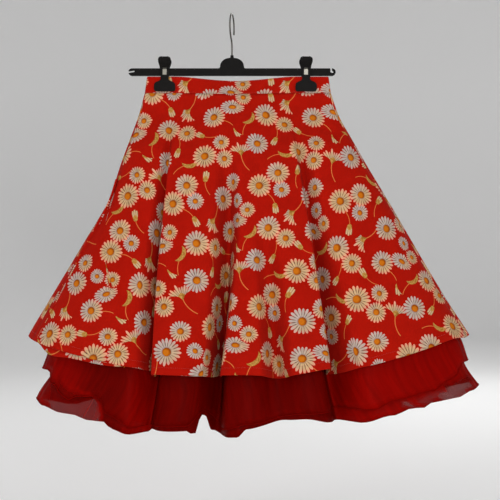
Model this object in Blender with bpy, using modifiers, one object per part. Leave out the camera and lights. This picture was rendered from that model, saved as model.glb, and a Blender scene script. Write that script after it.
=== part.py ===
"""Circle skirt over an organza petticoat, hung by its waistband from a clip hanger.

Metres, +Z up. The origin is the inside top of the hook, where it rests on a rail. +X runs along
the hanger bar to the wearer's left, and the front of the skirt faces -Y.
"""
import math
from collections import namedtuple

import bmesh
import bpy
from mathutils import Matrix, Vector

# Skirt sizes
SKIRT_CENTRE_X = 0.0107
WAIST_Z = -0.1455
WAIST_SAG = 0.0035
SKIRT_WALL = 0.0012
SKIRT_ROWS = (0.0, 0.06, 0.15, 0.27, 0.42, 0.58, 0.80, 1.0)
STEPS_PER_FOLD = 12
LENGTH_LEFT = 0.498
LENGTH_FRONT = 0.521
LENGTH_RIGHT = 0.516
LENGTH_BACK = 0.524
BACK_LEFT_DROP = 0.016
SEAM_GAP = 0.0003
SEAM_SHARE = 0.6
SEAM_STEP = 0.02
VALLEY_LIMIT = 0.995

# Waistband sizes
BAND_WALL = 0.0020
BAND_HALF_WIDTH = 0.1683
BAND_TOP_Z = -0.1150
BAND_TOP_SAG = 0.0085
BAND_TOP_BULGE = 0.0050
PINCHED_HALF_DEPTH = 0.0034
BAND_OVERLAP = 0.024
BAND_TUCK = 0.028
BAND_STEPS = 64
BULGE_POWER = 1.5
FLAT_WAIST_END = 0.24

# Petticoat sizes
ORGANZA_WALL = 0.0010
LAYER_GAP = 0.0030
YOKE_ROWS = (0.006, 0.06, 0.15, 0.32, 0.55)
YOKE_PINCH = 0.45
YOKE_PINCH_END = 0.10
RUFFLE_TOP = 0.5508
UPPER_SWING = 0.007
LOWER_SWING = 0.008
UPPER_WIDER = 0.012
LOWER_WIDER = 0.009
LOWER_LEFT_INSET = 0.0185
FLARE_START = 1.12
FLARE_END = 1.24
FLARE_LEFT = 0.4
SIDE_POWER = 4
GATHER_SPAN = 0.13
LAYER_SPAN = 0.05
RECESS_SPAN = 0.30
LOOSE_START = 0.65
LOOSE_SPAN = 0.50
LOWER_SHIFT = 0.25
FOLD_FADE = 0.35
FOLD_FADE_SPAN = 0.35
YOKE_STEPS = 4
RUFFLE_ROWS = (0.5508, 0.58, 0.64, 0.80, 1.0)

# Hanger sizes
BAR_HALF_LENGTH = 0.192
BAR_TOP_Z = -0.0998
BAR_BOTTOM_Z = -0.1134
BAR_DEPTH = 0.0066
BOSS_HALF_WIDTH = 0.0222
BOSS_TOP_Z = -0.0803
BOSS_FILLET = 0.0030
BOSS_FULLNESS = 0.8
BAR_ROUNDING = 0.0007
NUB_HALF_WIDTH = 0.0034
NUB_TIP_HALF_WIDTH = 0.0026
NUB_TOP_Z = -0.0755
HOOK_BORE_RADIUS = 0.0018
HOOK_BORE_DEPTH = 0.0190
HOOK_WIRE_RADIUS = 0.0015
HOOK_BEND_RADIUS = 0.0245
HOOK_BEND_START = -58.0
HOOK_BEND_END = 205.0
HOOK_TURN = math.radians(9.0)
CLIP_X = (-0.1246, 0.1370)
CLIP_HALF_JAW = 0.023
LEVER_WALL = 0.0024
LEVER_ROUNDING = 0.0005
SPRING_HALF_WIDTH = 0.0036
SPRING_WALL = 0.0006
SPRING_OUT = 0.0043
SPRING_TOP_Z = -0.0972
SPRING_BOTTOM_Z = -0.1165

# Zip and button sizes
ZIP_LENGTH = 0.180
ZIP_TOP = 0.012
TAPE_HALF_WIDTH = 0.012
TAPE_WALL = 0.0010
SLIDER_WIDTH = 0.0068
SLIDER_HEIGHT = 0.0016
SLIDER_LENGTH = 0.0090
EAR_WIDTH = 0.0009
EAR_HEIGHT = 0.0027
EAR_LENGTH = 0.0022
PIN_RADIUS = 0.0005
PIN_HEIGHT = 0.0014
PIN_UP = 0.0020
KNUCKLE_RADIUS = 0.0011
KNUCKLE_BORE_RADIUS = 0.0008
KNUCKLE_LENGTH = 0.0040
PULL_LENGTH = 0.0200
PULL_NECK = 0.0030
PULL_HALF_WIDTH = 0.0026
PULL_WALL = 0.0010
PULL_REST = math.radians(5.0)
SLIDER_DOWN = 0.016
BUTTON_RADIUS = 0.0075
BUTTON_WALL = 0.0028
BUTTON_ROUNDING = 0.0007
BUTTON_SPAN = (0.2, 0.8)
BUTTON_HOLE_RADIUS = 0.0009
BUTTON_HOLE_SPACING = 0.0020

# How the skirt widens from the waist seam (down 0) to the hem (down 1): its reach to each side of
# its own centre line, and the exponent that rounds its plan from a flat waist to an oval hem. The
# last two rows carry its lines on below the hem, for the petticoat to hang inside.
Section = namedtuple("Section", "down left right front back squareness")
SKIRT_SECTIONS = (
    Section(0.00, 0.1725, 0.1725, 0.0220, 0.0200, 2.6),
    Section(0.10, 0.1850, 0.1885, 0.0400, 0.0370, 2.5),
    Section(0.20, 0.2015, 0.2135, 0.0590, 0.0540, 2.4),
    Section(0.30, 0.2185, 0.2390, 0.0770, 0.0710, 2.3),
    Section(0.45, 0.2430, 0.2800, 0.1000, 0.0940, 2.2),
    Section(0.60, 0.2820, 0.3190, 0.1200, 0.1150, 2.2),
    Section(0.75, 0.3220, 0.3580, 0.1390, 0.1340, 2.2),
    Section(0.90, 0.3620, 0.3990, 0.1560, 0.1520, 2.2),
    Section(1.00, 0.3880, 0.4280, 0.1660, 0.1630, 2.2),
    Section(1.15, 0.4180, 0.4640, 0.1790, 0.1760, 2.2),
    Section(1.30, 0.4440, 0.4960, 0.1900, 0.1870, 2.2),
)
YOKE_SECTIONS = (
    Section(0.00, 0.1590, 0.1590, 0.0190, 0.0150, 2.6),
    Section(0.10, 0.1690, 0.1700, 0.0250, 0.0230, 2.5),
    Section(0.25, 0.1880, 0.1930, 0.0330, 0.0320, 2.4),
    Section(0.40, 0.2050, 0.2200, 0.0400, 0.0400, 2.3),
    Section(0.56, 0.2250, 0.2500, 0.0470, 0.0470, 2.2),
)
RUFFLE_SECTIONS = (
    Section(0.55, 0.2330, 0.2590, 0.0490, 0.0490, 2.2),
    Section(0.65, 0.2800, 0.3150, 0.1080, 0.1050, 2.2),
    Section(0.80, 0.3200, 0.3590, 0.1280, 0.1250, 2.2),
    Section(1.00, 0.3440, 0.4120, 0.1480, 0.1450, 2.2),
    Section(1.13, 0.3640, 0.4350, 0.1560, 0.1540, 2.2),
    Section(1.30, 0.3970, 0.4965, 0.1660, 0.1640, 2.2),
)

# The deep folds in order round the skirt: where the valley lies at the waist and at the hem and how
# far it bows between them, how far down it starts, its depth at the hem, its half width halfway
# down and at the hem, and how far its bottom leans along the cloth.
Fold = namedtuple("Fold", "face waist_x hem_x bow start depth mid_width hem_width lean")
FOLDS = (
    Fold("front", -0.101, -0.157, -0.011, 0.03, 0.094, 0.013, 0.014, 0.007),
    Fold("front", -0.013, -0.036, 0.013, 0.14, 0.120, 0.027, 0.016, 0.012),
    Fold("front", 0.032, 0.079, 0.002, 0.40, 0.062, 0.026, 0.030, 0.003),
    Fold("front", 0.103, 0.197, 0.005, 0.05, 0.098, 0.018, 0.026, -0.009),
    Fold("back", 0.152, 0.345, 0.000, 0.25, 0.074, 0.022, 0.024, 0.000),
    Fold("back", 0.096, 0.215, 0.004, 0.12, 0.104, 0.020, 0.019, 0.006),
    Fold("back", 0.044, 0.088, 0.000, 0.26, 0.086, 0.026, 0.026, -0.004),
    Fold("back", -0.024, -0.066, -0.003, 0.16, 0.108, 0.019, 0.018, 0.007),
    Fold("back", -0.084, -0.192, 0.000, 0.22, 0.092, 0.024, 0.022, -0.005),
    Fold("back", -0.134, -0.308, 0.000, 0.20, 0.078, 0.022, 0.026, 0.000),
)
LEFT_SEAM = -0.5
RIGHT_SEAM = 3.5
BACK_SEAM = 6.5
FOLD_TAIL = 0.26
TAIL_WIDTH = 0.030
FOLD_OPENING = 4.0
FOLD_REACH = 1.5
WAIST_WIDTH_SHARE = 0.6
UPPER_VALLEY_INSET = 0.0085
LOWER_VALLEY_INSET = 0.0140
COLUMN_PINCH = 0.88

# Where the petticoat's gathers bunch up: from one place to another round the ring, counted in folds,
# and how much further in they lie.
Gather = namedtuple("Gather", "start end recess")
GATHERS = (
    Gather(-0.34, -0.17, 0.003),
    Gather(0.02, 2.98, 0.022),
    Gather(4.10, 5.10, 0.010),
    Gather(5.90, 7.90, 0.016),
    Gather(8.40, 8.95, 0.006),
)
GATHER_SLOPE = 0.12

# The hems of the petticoat's two front ruffles, from the left side to the right
HemPoint = namedtuple("HemPoint", "x z")
LOWER_HEM = (
    HemPoint(-0.400, -0.706),
    HemPoint(-0.362, -0.712),
    HemPoint(-0.345, -0.722),
    HemPoint(-0.305, -0.729),
    HemPoint(-0.285, -0.729),
    HemPoint(-0.254, -0.736),
    HemPoint(-0.222, -0.736),
    HemPoint(-0.214, -0.747),
    HemPoint(-0.178, -0.757),
    HemPoint(-0.150, -0.757),
    HemPoint(-0.140, -0.751),
    HemPoint(-0.080, -0.751),
    HemPoint(-0.072, -0.756),
    HemPoint(-0.062, -0.756),
    HemPoint(-0.056, -0.726),
    HemPoint(-0.047, -0.726),
    HemPoint(-0.040, -0.746),
    HemPoint(-0.016, -0.760),
    HemPoint(0.008, -0.760),
    HemPoint(0.026, -0.746),
    HemPoint(0.095, -0.733),
    HemPoint(0.130, -0.732),
    HemPoint(0.180, -0.738),
    HemPoint(0.245, -0.732),
    HemPoint(0.285, -0.727),
    HemPoint(0.318, -0.717),
    HemPoint(0.336, -0.716),
    HemPoint(0.355, -0.706),
    HemPoint(0.400, -0.702),
    HemPoint(0.430, -0.692),
    HemPoint(0.455, -0.684),
)
UPPER_HEM = (
    HemPoint(-0.400, -0.654),
    HemPoint(-0.345, -0.658),
    HemPoint(-0.322, -0.684),
    HemPoint(-0.300, -0.700),
    HemPoint(-0.268, -0.698),
    HemPoint(-0.240, -0.686),
    HemPoint(-0.218, -0.722),
    HemPoint(-0.170, -0.745),
    HemPoint(-0.080, -0.741),
    HemPoint(-0.050, -0.719),
    HemPoint(-0.016, -0.748),
    HemPoint(0.026, -0.737),
    HemPoint(0.130, -0.720),
    HemPoint(0.245, -0.712),
    HemPoint(0.290, -0.695),
    HemPoint(0.353, -0.683),
    HemPoint(0.392, -0.665),
    HemPoint(0.420, -0.638),
    HemPoint(0.450, -0.635),
)
LOWER_HEM_BACK_Z = -0.722
UPPER_HEM_BACK_Z = -0.697
LOWER_HEM_WAVE = 0.010
UPPER_HEM_WAVE = 0.004
LOWER_HEM_WAVES = 5.0
UPPER_HEM_WAVES = 7.0
LOWER_HEM_PHASE = 0.6
BACK_HEM_REACH = 1.3
HEM_ROUNDS = 4

# Each lever of a clip, from its handle down to its jaw: height, half width and distance of its
# middle plane from the bar's middle plane.
LeverRow = namedtuple("LeverRow", "z half_width out")
LEVER_ROWS = (
    LeverRow(-0.0792, 0.0088, 0.0138),
    LeverRow(-0.0808, 0.0112, 0.0134),
    LeverRow(-0.0840, 0.0117, 0.0126),
    LeverRow(-0.0925, 0.0108, 0.0094),
    LeverRow(-0.0985, 0.0094, 0.0068),
    LeverRow(-0.1120, 0.0092, 0.0062),
    LeverRow(-0.1150, 0.0090, 0.0062),
    LeverRow(-0.1222, 0.0098, 0.0064),
    LeverRow(-0.1262, 0.0150, 0.0062),
    LeverRow(-0.1292, 0.0190, 0.0056),
    LeverRow(-0.1410, 0.0198, 0.0050),
    LeverRow(-0.1428, 0.0186, 0.0050),
)
LEVER_COLUMNS = (-1.0, -0.45, 0.45, 1.0)
WINDOW_ROW = 4

# The hook's stem from its socket to its bend: how far out of line, and its height
StemPoint = namedtuple("StemPoint", "out z")
HOOK_STEM = (
    StemPoint(0.0, -0.0700),
    StemPoint(0.0, -0.0600),
    StemPoint(0.0012, -0.0545),
    StemPoint(0.0052, -0.0492),
)

# The loop notches in the bar's ends: the round bottom of each slot, its mouth and half its width
Notch = namedtuple("Notch", "name x z mouth_x mouth_z radius")
NOTCHES = (
    Notch("left_notch", -0.1820, -0.1052, -0.2000, -0.1080, 0.0017),
    Notch("right_notch", 0.1843, -0.1045, 0.1826, -0.0950, 0.0017),
    Notch("right_eye", 0.1838, -0.1056, 0.1862, -0.1062, 0.0020),
)

ACROSS = Vector((1.0, 0.0, 0.0))
CENTRE_BACK = 1.5 * math.pi

COLOURS = {
    "cotton": (0.42, 0.014, 0.006, 1.0),
    "organza": (0.20, 0.004, 0.002, 1.0),
    "plastic": (0.010, 0.009, 0.008, 1.0),
    "steel": (0.55, 0.55, 0.52, 1.0),
    "zip": (0.36, 0.012, 0.006, 1.0),
    "button": (0.60, 0.02, 0.015, 1.0),
}


def clear_scene():
    """Remove whatever the scene holds."""
    for item in list(bpy.data.objects):
        bpy.data.objects.remove(item, do_unlink=True)


def make_collection(name):
    """A collection linked to the scene."""
    group = bpy.data.collections.new(name)
    bpy.context.scene.collection.children.link(group)
    return group


def make_material(name, colour, roughness, metallic=0.0):
    """A Principled material with one colour, roughness and metallic value."""
    made = bpy.data.materials.new(name)
    made.use_nodes = True
    made.diffuse_color = colour
    shader = made.node_tree.nodes["Principled BSDF"]
    shader.inputs["Base Color"].default_value = colour
    shader.inputs["Roughness"].default_value = roughness
    shader.inputs["Metallic"].default_value = metallic
    return made


def add_object(name, data, group, material=None):
    """An object with the given data in the given collection."""
    made = bpy.data.objects.new(name, data)
    group.objects.link(made)
    if material is not None:
        data.materials.append(material)
    return made


def hide_cutter(cutter):
    """Mark a cutter so that it shows as wires only and is never rendered."""
    cutter.hide_render = True
    cutter.display_type = "WIRE"


def blend(low, high, share):
    """The value part of the way from low to high."""
    return low + (high - low) * share


def ease(value):
    """A smooth step from 0 to 1."""
    held = min(1.0, max(0.0, value))
    return held * held * (3.0 - 2.0 * held)


def section_at(sections, down):
    """A section between the rows of a table, on a smooth curve through them."""
    last = len(sections) - 2
    index = 0
    while index < last and sections[index + 1].down < down:
        index += 1
    near = sections[index]
    far = sections[index + 1]
    before = sections[max(0, index - 1)]
    after = sections[min(len(sections) - 1, index + 2)]
    step = far.down - near.down
    share = (down - near.down) / step
    values = []
    for a, b, c, d in zip(before, near, far, after):
        slope_near = (c - a) / max(1e-6, far.down - before.down) * step
        slope_far = (d - b) / max(1e-6, after.down - near.down) * step
        square = share * share
        cube = square * share
        values.append(
            (2.0 * cube - 3.0 * square + 1.0) * b
            + (cube - 2.0 * square + share) * slope_near
            + (3.0 * square - 2.0 * cube) * c
            + (cube - square) * slope_far
        )
    return Section(*values)


def clip_bulge(x):
    """How far the waist bows out between the two clips: 1 in the middle, 0 at the clips."""
    inner_left = CLIP_X[0] + CLIP_HALF_JAW
    inner_right = CLIP_X[1] - CLIP_HALF_JAW
    if x <= inner_left or x >= inner_right:
        return 0.0
    share = (x - inner_left) / (inner_right - inner_left)
    return math.sin(math.pi * share) ** BULGE_POWER


def half_depth(section, across, front, flatness):
    """Distance of the cloth from the middle plane at a place across its width."""
    reach = section.front if front else section.back
    outward = min(1.0, abs(across))
    oval = reach * (1.0 - outward**section.squareness) ** (1.0 / section.squareness)
    if flatness <= 0.0:
        return oval
    side = section.left if across < 0.0 else section.right
    x = SKIRT_CENTRE_X + across * side
    from_end = min(1.0, side * (1.0 - outward) / PINCHED_HALF_DEPTH)
    rounded = math.sqrt(max(0.0, 1.0 - (1.0 - from_end) ** 2))
    flat = PINCHED_HALF_DEPTH * rounded + (reach - PINCHED_HALF_DEPTH) * clip_bulge(x)
    return blend(oval, flat, flatness)


def base_point(section, turn, flatness):
    """A point of the unfolded ring. Turn runs from the left side through the front, in radians."""
    across = -math.cos(turn)
    side = section.left if across < 0.0 else section.right
    front = math.sin(turn) >= 0.0
    depth = half_depth(section, across, front, flatness)
    return Vector((SKIRT_CENTRE_X + across * side, -depth if front else depth))


def inward_normal(section, turn, flatness):
    """The unit direction towards the inside of the ring."""
    step = 0.01
    ahead = base_point(section, turn + step, flatness)
    behind = base_point(section, turn - step, flatness)
    along = (ahead - behind).normalized()
    return Vector((-along.y, along.x)), along


def fold_turn(fold, section, down):
    """Where a fold's valley lies round the ring, in radians."""
    bow = fold.bow * math.sin(math.pi * min(1.0, down))
    x = blend(fold.waist_x, fold.hem_x, down) + bow - SKIRT_CENTRE_X
    side = section.left if x < 0.0 else section.right
    across = max(-VALLEY_LIMIT, min(VALLEY_LIMIT, x / side))
    turn = math.acos(-across)
    return turn if fold.face == "front" else 2.0 * math.pi - turn


def fold_turns(section, down):
    """The valleys in order round the ring, each turn larger than the last."""
    return [fold_turn(fold, section, down) for fold in FOLDS]


def turn_at(place, turns):
    """The turn of a place counted in folds: whole numbers are valleys, halves are crests."""
    count = len(turns)
    index = math.floor(place)
    share = place - index
    spread = share - COLUMN_PINCH * math.sin(2.0 * math.pi * share) / (2.0 * math.pi)
    laps = index // count
    start = turns[index % count] + 2.0 * math.pi * laps
    following = index + 1
    end = turns[following % count] + 2.0 * math.pi * (following // count)
    return start + (end - start) * spread


def fold_depth(fold, down):
    """Depth of a valley at a height."""
    if down <= fold.start:
        return 0.0
    share = (down - fold.start) / (1.0 - fold.start)
    return fold.depth * ease(share * FOLD_OPENING) * share


def fold_width(fold, down):
    """Half width of a valley at a height."""
    if down < 0.5:
        return blend(fold.mid_width * WAIST_WIDTH_SHARE, fold.mid_width, down * 2.0)
    return blend(fold.mid_width, fold.hem_width, (down - 0.5) * 2.0)


def valley_shape(distance, width):
    """A valley's steep core and its wide tail at a distance from its bottom, each from 0 to 1."""
    reach = abs(distance) / width
    core = 0.5 + 0.5 * math.cos(math.pi * reach) if reach < 1.0 else 0.0
    tail = 1.0 / (1.0 + (distance / TAIL_WIDTH) ** 2)
    return core, tail


def ring_offset(turn, down, flatness, wider=0.0, strength=1.0):
    """How far the folds move a point of the ring inwards and along, and how deep in a valley it is."""
    section = section_at(SKIRT_SECTIONS, down)
    point = base_point(section, turn, flatness)
    inward = 0.0
    along = 0.0
    deepest = 0.0
    held = min(down, 1.0)
    for fold in FOLDS:
        depth = fold_depth(fold, held) * strength
        centre = fold_turn(fold, section, down)
        gap = math.remainder(turn - centre, 2.0 * math.pi)
        if depth <= 0.0 or abs(gap) > FOLD_REACH:
            continue
        distance = math.copysign((point - base_point(section, centre, flatness)).length, gap)
        core, tail = valley_shape(distance, fold_width(fold, held) + wider)
        inward += depth * ((1.0 - FOLD_TAIL) * core + FOLD_TAIL * tail)
        along += fold.lean * core * depth / fold.depth
        deepest = max(deepest, core)
    return inward, along, deepest


def ring_place(turn, down, flatness, inset=0.0, valley_inset=0.0, wider=0.0, strength=1.0):
    """A point of the folded ring from above, set in from the skirt's own line."""
    section = section_at(SKIRT_SECTIONS, down)
    point = base_point(section, turn, flatness)
    normal, tangent = inward_normal(section, turn, flatness)
    inward, along, deepest = ring_offset(turn, down, flatness, wider, strength)
    held_inset = blend(inset, min(inset, valley_inset), deepest)
    return point + normal * (inward + held_inset) + tangent * along


def waist_flatness(down):
    """1 at the clipped waist, 0 where the skirt hangs as an oval."""
    return 1.0 - ease(down / FLAT_WAIST_END)


def waist_z(x):
    """Height of the waist seam, which sags between the clips."""
    return WAIST_Z - WAIST_SAG * clip_bulge(x)


def cloth_length(turn):
    """Length of the skirt from the waist seam to the hem, round the ring."""
    side = math.cos(turn)
    middle = LENGTH_FRONT if math.sin(turn) >= 0.0 else LENGTH_BACK
    end = LENGTH_LEFT if side > 0.0 else LENGTH_RIGHT
    length = blend(middle, end, side * side)
    if math.sin(turn) < 0.0 < side:
        length += BACK_LEFT_DROP * math.sin(2.0 * turn) ** 2
    return length


def fall_at(place):
    """The drop from the waist seam to the hem for a place counted in folds, and its waist height."""
    top_section = section_at(SKIRT_SECTIONS, 0.0)
    top_turn = turn_at(place, fold_turns(top_section, 0.0))
    top = ring_place(top_turn, 0.0, 1.0)
    low_section = section_at(SKIRT_SECTIONS, 1.0)
    low_turn = turn_at(place, fold_turns(low_section, 1.0))
    low = ring_place(low_turn, 1.0, 0.0)
    spread = (low - top).length
    length = cloth_length(low_turn)
    return math.sqrt(length * length - spread * spread), waist_z(top.x)


def skirt_point(place, down):
    """A point on the outside of the skirt."""
    section = section_at(SKIRT_SECTIONS, down)
    turn = turn_at(place, fold_turns(section, down))
    spot = ring_place(turn, down, waist_flatness(down))
    drop, top = fall_at(place)
    return Vector((spot.x, spot.y, top - drop * down))


def yoke_point(place, down):
    """A point on the outside of the petticoat's yoke, which hangs plain inside the skirt."""
    section = section_at(YOKE_SECTIONS, down)
    turn = turn_at(place, fold_turns(section_at(SKIRT_SECTIONS, down), down))
    spot = base_point(section, turn, waist_flatness(down))
    drop, top = fall_at(place)
    pinch = 1.0 - (1.0 - ease(down / YOKE_PINCH_END)) * YOKE_PINCH * (1.0 - clip_bulge(spot.x))
    return Vector((spot.x, spot.y * pinch, top - drop * down))


def hem_z(points, x):
    """Height of a ruffle's front hem at a place across it."""
    if x <= points[0].x:
        return points[0].z
    for near, far in zip(points, points[1:]):
        if x <= far.x:
            return blend(near.z, far.z, ease((x - near.x) / (far.x - near.x)))
    return points[-1].z


def ruffle_inset(turn, down):
    """How far inside the skirt's own line the upper ruffle hangs."""
    outer = section_at(SKIRT_SECTIONS, down)
    inner = section_at(RUFFLE_SECTIONS, down)
    side = outer.left - inner.left if math.cos(turn) > 0.0 else outer.right - inner.right
    middle = outer.front - inner.front if math.sin(turn) >= 0.0 else outer.back - inner.back
    return blend(middle, side, math.cos(turn) ** 2)


def ruffle_hem(place, lower):
    """Height of a ruffle's hem, found where the ruffle really hangs at that height."""
    turn = turn_at(place, fold_turns(section_at(SKIRT_SECTIONS, 1.0), 1.0))
    if lower:
        back = LOWER_HEM_BACK_Z + LOWER_HEM_WAVE * math.sin(LOWER_HEM_WAVES * turn + LOWER_HEM_PHASE)
    else:
        back = UPPER_HEM_BACK_Z + UPPER_HEM_WAVE * math.sin(UPPER_HEM_WAVES * turn)
    around = 0.0 if math.sin(turn) >= 0.0 else ease(BACK_HEM_REACH * math.sin(turn) ** 2)
    z = back
    for _ in range(HEM_ROUNDS):
        front = hem_z(LOWER_HEM if lower else UPPER_HEM, ruffle_point(place, z, lower).x)
        z = blend(front, back, around)
    return z


def gather_recess(place):
    """How much deeper the petticoat's gathers lie at a place counted in folds."""
    recess = 0.0
    for gather in GATHERS:
        rise = ease((place - gather.start) / GATHER_SLOPE)
        recess += gather.recess * rise * ease((gather.end - place) / GATHER_SLOPE)
    return recess


def ruffle_wave(place, shift):
    """The soft waves between the deep folds, from 0 to 1."""
    return 0.5 - 0.5 * math.cos(2.0 * math.pi * (place * 2.0 + shift))


def ruffle_heights(place, lower):
    """Heights of a ruffle's rows at a place, the same for both layers down to the upper hem."""
    drop, top = fall_at(place)
    heights = [top - drop * down for down in RUFFLE_ROWS]
    heights.append(ruffle_hem(place, False))
    if lower:
        hem = ruffle_hem(place, True)
        heights += [blend(heights[-1], hem, 0.5), hem]
    return heights


def ruffle_point(place, z, lower):
    """A point on the outside of a ruffle at a height."""
    drop, top = fall_at(place)
    down = (top - z) / drop
    turn = turn_at(place, fold_turns(section_at(SKIRT_SECTIONS, down), down))
    opened = ease((down - RUFFLE_TOP) / RECESS_SPAN)
    loose = ease((down - LOOSE_START) / LOOSE_SPAN)
    inset = ruffle_inset(turn, down) + UPPER_SWING * loose * ruffle_wave(place, 0.0)
    inset += gather_recess(place) * opened
    valley_inset = UPPER_VALLEY_INSET
    wider = UPPER_WIDER
    layer = 0.0
    if lower:
        layer = ORGANZA_WALL + SEAM_GAP + LAYER_GAP * ease((down - RUFFLE_TOP) / LAYER_SPAN)
        inset += layer + LOWER_SWING * loose * ruffle_wave(place, LOWER_SHIFT)
        flare = 1.0 - (1.0 - FLARE_LEFT) * ease((down - FLARE_START) / (FLARE_END - FLARE_START))
        inset += LOWER_LEFT_INSET * flare * max(0.0, math.cos(turn)) ** SIDE_POWER * opened
        valley_inset = LOWER_VALLEY_INSET
        wider += LOWER_WIDER
    strength = 1.0 - FOLD_FADE * ease((down - 1.0) / FOLD_FADE_SPAN)
    full = ring_place(turn, down, 0.0, inset, valley_inset, wider, strength)
    gathered_section = section_at(RUFFLE_SECTIONS, RUFFLE_TOP)
    gathered = base_point(gathered_section, turn, 0.0)
    normal, tangent = inward_normal(gathered_section, turn, 0.0)
    spot = (gathered + normal * layer).lerp(full, ease((down - RUFFLE_TOP) / GATHER_SPAN))
    return Vector((spot.x, spot.y, z))


def draw_back(beyond, seam, inside, wall):
    """The seam end of a row, moved into its panel until the walls of both panels stay apart."""
    ahead = inside - seam
    corner = (seam - beyond).angle(ahead)
    return seam + ahead.normalized() * (SEAM_GAP * SEAM_SHARE + wall * math.tan(corner / 2.0))


def seamed(points, wall):
    """A row between two seams, from points that reach one further past each seam."""
    first = draw_back(points[0], points[1], points[2], wall)
    last = draw_back(points[-1], points[-2], points[-3], wall)
    return [first] + points[2:-2] + [last]


def cloth(name, grid, wall, group, material):
    """A panel through rows of points on its outside, given a wall towards the inside."""
    mesh = bpy.data.meshes.new(name)
    builder = bmesh.new()
    rows = [[builder.verts.new(point) for point in row] for row in grid]
    for upper, lower in zip(rows, rows[1:]):
        for index in range(len(upper) - 1):
            builder.faces.new((upper[index], lower[index], lower[index + 1], upper[index + 1]))
    builder.normal_update()
    builder.to_mesh(mesh)
    builder.free()
    mesh.shade_smooth()
    panel = add_object(name, mesh, group, material)
    wall_maker = panel.modifiers.new("Wall", "SOLIDIFY")
    wall_maker.thickness = wall
    wall_maker.offset = -1.0
    wall_maker.use_even_offset = True
    wall_maker.thickness_clamp = 0.0
    return panel


def places_between(start, end, steps):
    """Places counted in folds, from one step before a seam to one step past the next."""
    count = round((end - start) * steps)
    return [start + index / steps for index in range(-1, count + 2)]


def make_skirt(group, material):
    """Front cut on the fold and two back quarters, parted at the side and centre back seams."""
    panels = (
        ("skirt_front", LEFT_SEAM, RIGHT_SEAM),
        ("skirt_back_right", RIGHT_SEAM, BACK_SEAM),
        ("skirt_back_left", BACK_SEAM, LEFT_SEAM + len(FOLDS)),
    )
    for name, start, end in panels:
        places = places_between(start, end, STEPS_PER_FOLD)
        grid = [seamed([skirt_point(place, down) for place in places], SKIRT_WALL) for down in SKIRT_ROWS]
        for point in grid[0]:
            point.z -= SEAM_GAP
        cloth(name, grid, SKIRT_WALL, group, material)


def make_petticoat(group, material):
    """Yoke and two ruffles, each a front and a back half."""
    halves = (("front", LEFT_SEAM, RIGHT_SEAM), ("back", RIGHT_SEAM, LEFT_SEAM + len(FOLDS)))
    for side, start, end in halves:
        places = places_between(start, end, YOKE_STEPS)
        grid = [seamed([yoke_point(place, down) for place in places], ORGANZA_WALL) for down in YOKE_ROWS]
        cloth("petticoat_yoke_" + side, grid, ORGANZA_WALL, group, material)
        places = places_between(start, end, STEPS_PER_FOLD)
        for layer, lower in (("upper_ruffle_", False), ("lower_ruffle_", True)):
            columns = [[ruffle_point(p, z, lower) for z in ruffle_heights(p, lower)] for p in places]
            grid = [seamed(list(row), ORGANZA_WALL) for row in zip(*columns)]
            cloth(layer + side, grid, ORGANZA_WALL, group, material)


def band_point(turn, share):
    """A point on the outside of the waistband, from its top edge (0) to the waist seam (1)."""
    top_reach = PINCHED_HALF_DEPTH + BAND_TOP_BULGE
    roundness = SKIRT_SECTIONS[0].squareness
    top = Section(0.0, BAND_HALF_WIDTH, BAND_HALF_WIDTH, top_reach, top_reach, roundness)
    high = base_point(top, turn, 1.0)
    low = base_point(SKIRT_SECTIONS[0], turn, 1.0)
    spot = high.lerp(low, share)
    z = blend(BAND_TOP_Z - BAND_TOP_SAG * clip_bulge(high.x), waist_z(low.x), share)
    return Vector((spot.x, spot.y, z))


def make_waistband(group, material):
    """One strip from the underlap at the centre back, round the front, to the buttoned end."""
    lap = BAND_OVERLAP / 2.0 / SKIRT_SECTIONS[0].right
    tuck = BAND_TUCK / SKIRT_SECTIONS[0].right
    start = CENTRE_BACK - lap
    end = CENTRE_BACK + 2.0 * math.pi + lap
    step = (end - start) / BAND_STEPS
    grid = []
    for share in (0.0, 0.5, 1.0):
        row = []
        for index in range(BAND_STEPS + 1):
            turn = start + step * index
            point = band_point(turn, share)
            under = 1.0 - ease((turn - CENTRE_BACK - lap - step) / tuck)
            point.y -= under * (BAND_WALL + SEAM_GAP * 1.5)
            row.append(point)
        grid.append(row)
    cloth("waistband", grid, BAND_WALL, group, material)


def mesh_from_curve(curve_object, group):
    """A welded mesh object in place of a curve object."""
    bpy.context.view_layer.update()
    depsgraph = bpy.context.evaluated_depsgraph_get()
    mesh = bpy.data.meshes.new_from_object(curve_object.evaluated_get(depsgraph))
    builder = bmesh.new()
    builder.from_mesh(mesh)
    bmesh.ops.remove_doubles(builder, verts=builder.verts, dist=0.00001)
    bmesh.ops.recalc_face_normals(builder, faces=builder.faces)
    builder.to_mesh(mesh)
    builder.free()
    name = curve_object.name
    place = curve_object.matrix_world.copy()
    bpy.data.objects.remove(curve_object, do_unlink=True)
    solid = add_object(name, mesh, group)
    solid.matrix_world = place
    return solid


def plate(name, outline, depth, group, material=None):
    """A flat plate from an outline in X and Z, standing in the plane of the hanger."""
    curve = bpy.data.curves.new(name, "CURVE")
    curve.dimensions = "2D"
    curve.fill_mode = "BOTH"
    curve.extrude = depth / 2.0
    spline = curve.splines.new("POLY")
    spline.points.add(len(outline) - 1)
    for point, (x, z) in zip(spline.points, outline):
        point.co = (x, z, 0.0, 1.0)
    spline.use_cyclic_u = True
    made = add_object(name, curve, group, material)
    made.rotation_euler = (math.pi / 2.0, 0.0, 0.0)
    return mesh_from_curve(made, group)


def arc(centre, radius, start, end, steps):
    """Points on an arc, angles in degrees."""
    points = []
    for index in range(steps + 1):
        angle = math.radians(blend(start, end, index / steps))
        points.append((centre[0] + radius * math.cos(angle), centre[1] + radius * math.sin(angle)))
    return points


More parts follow.
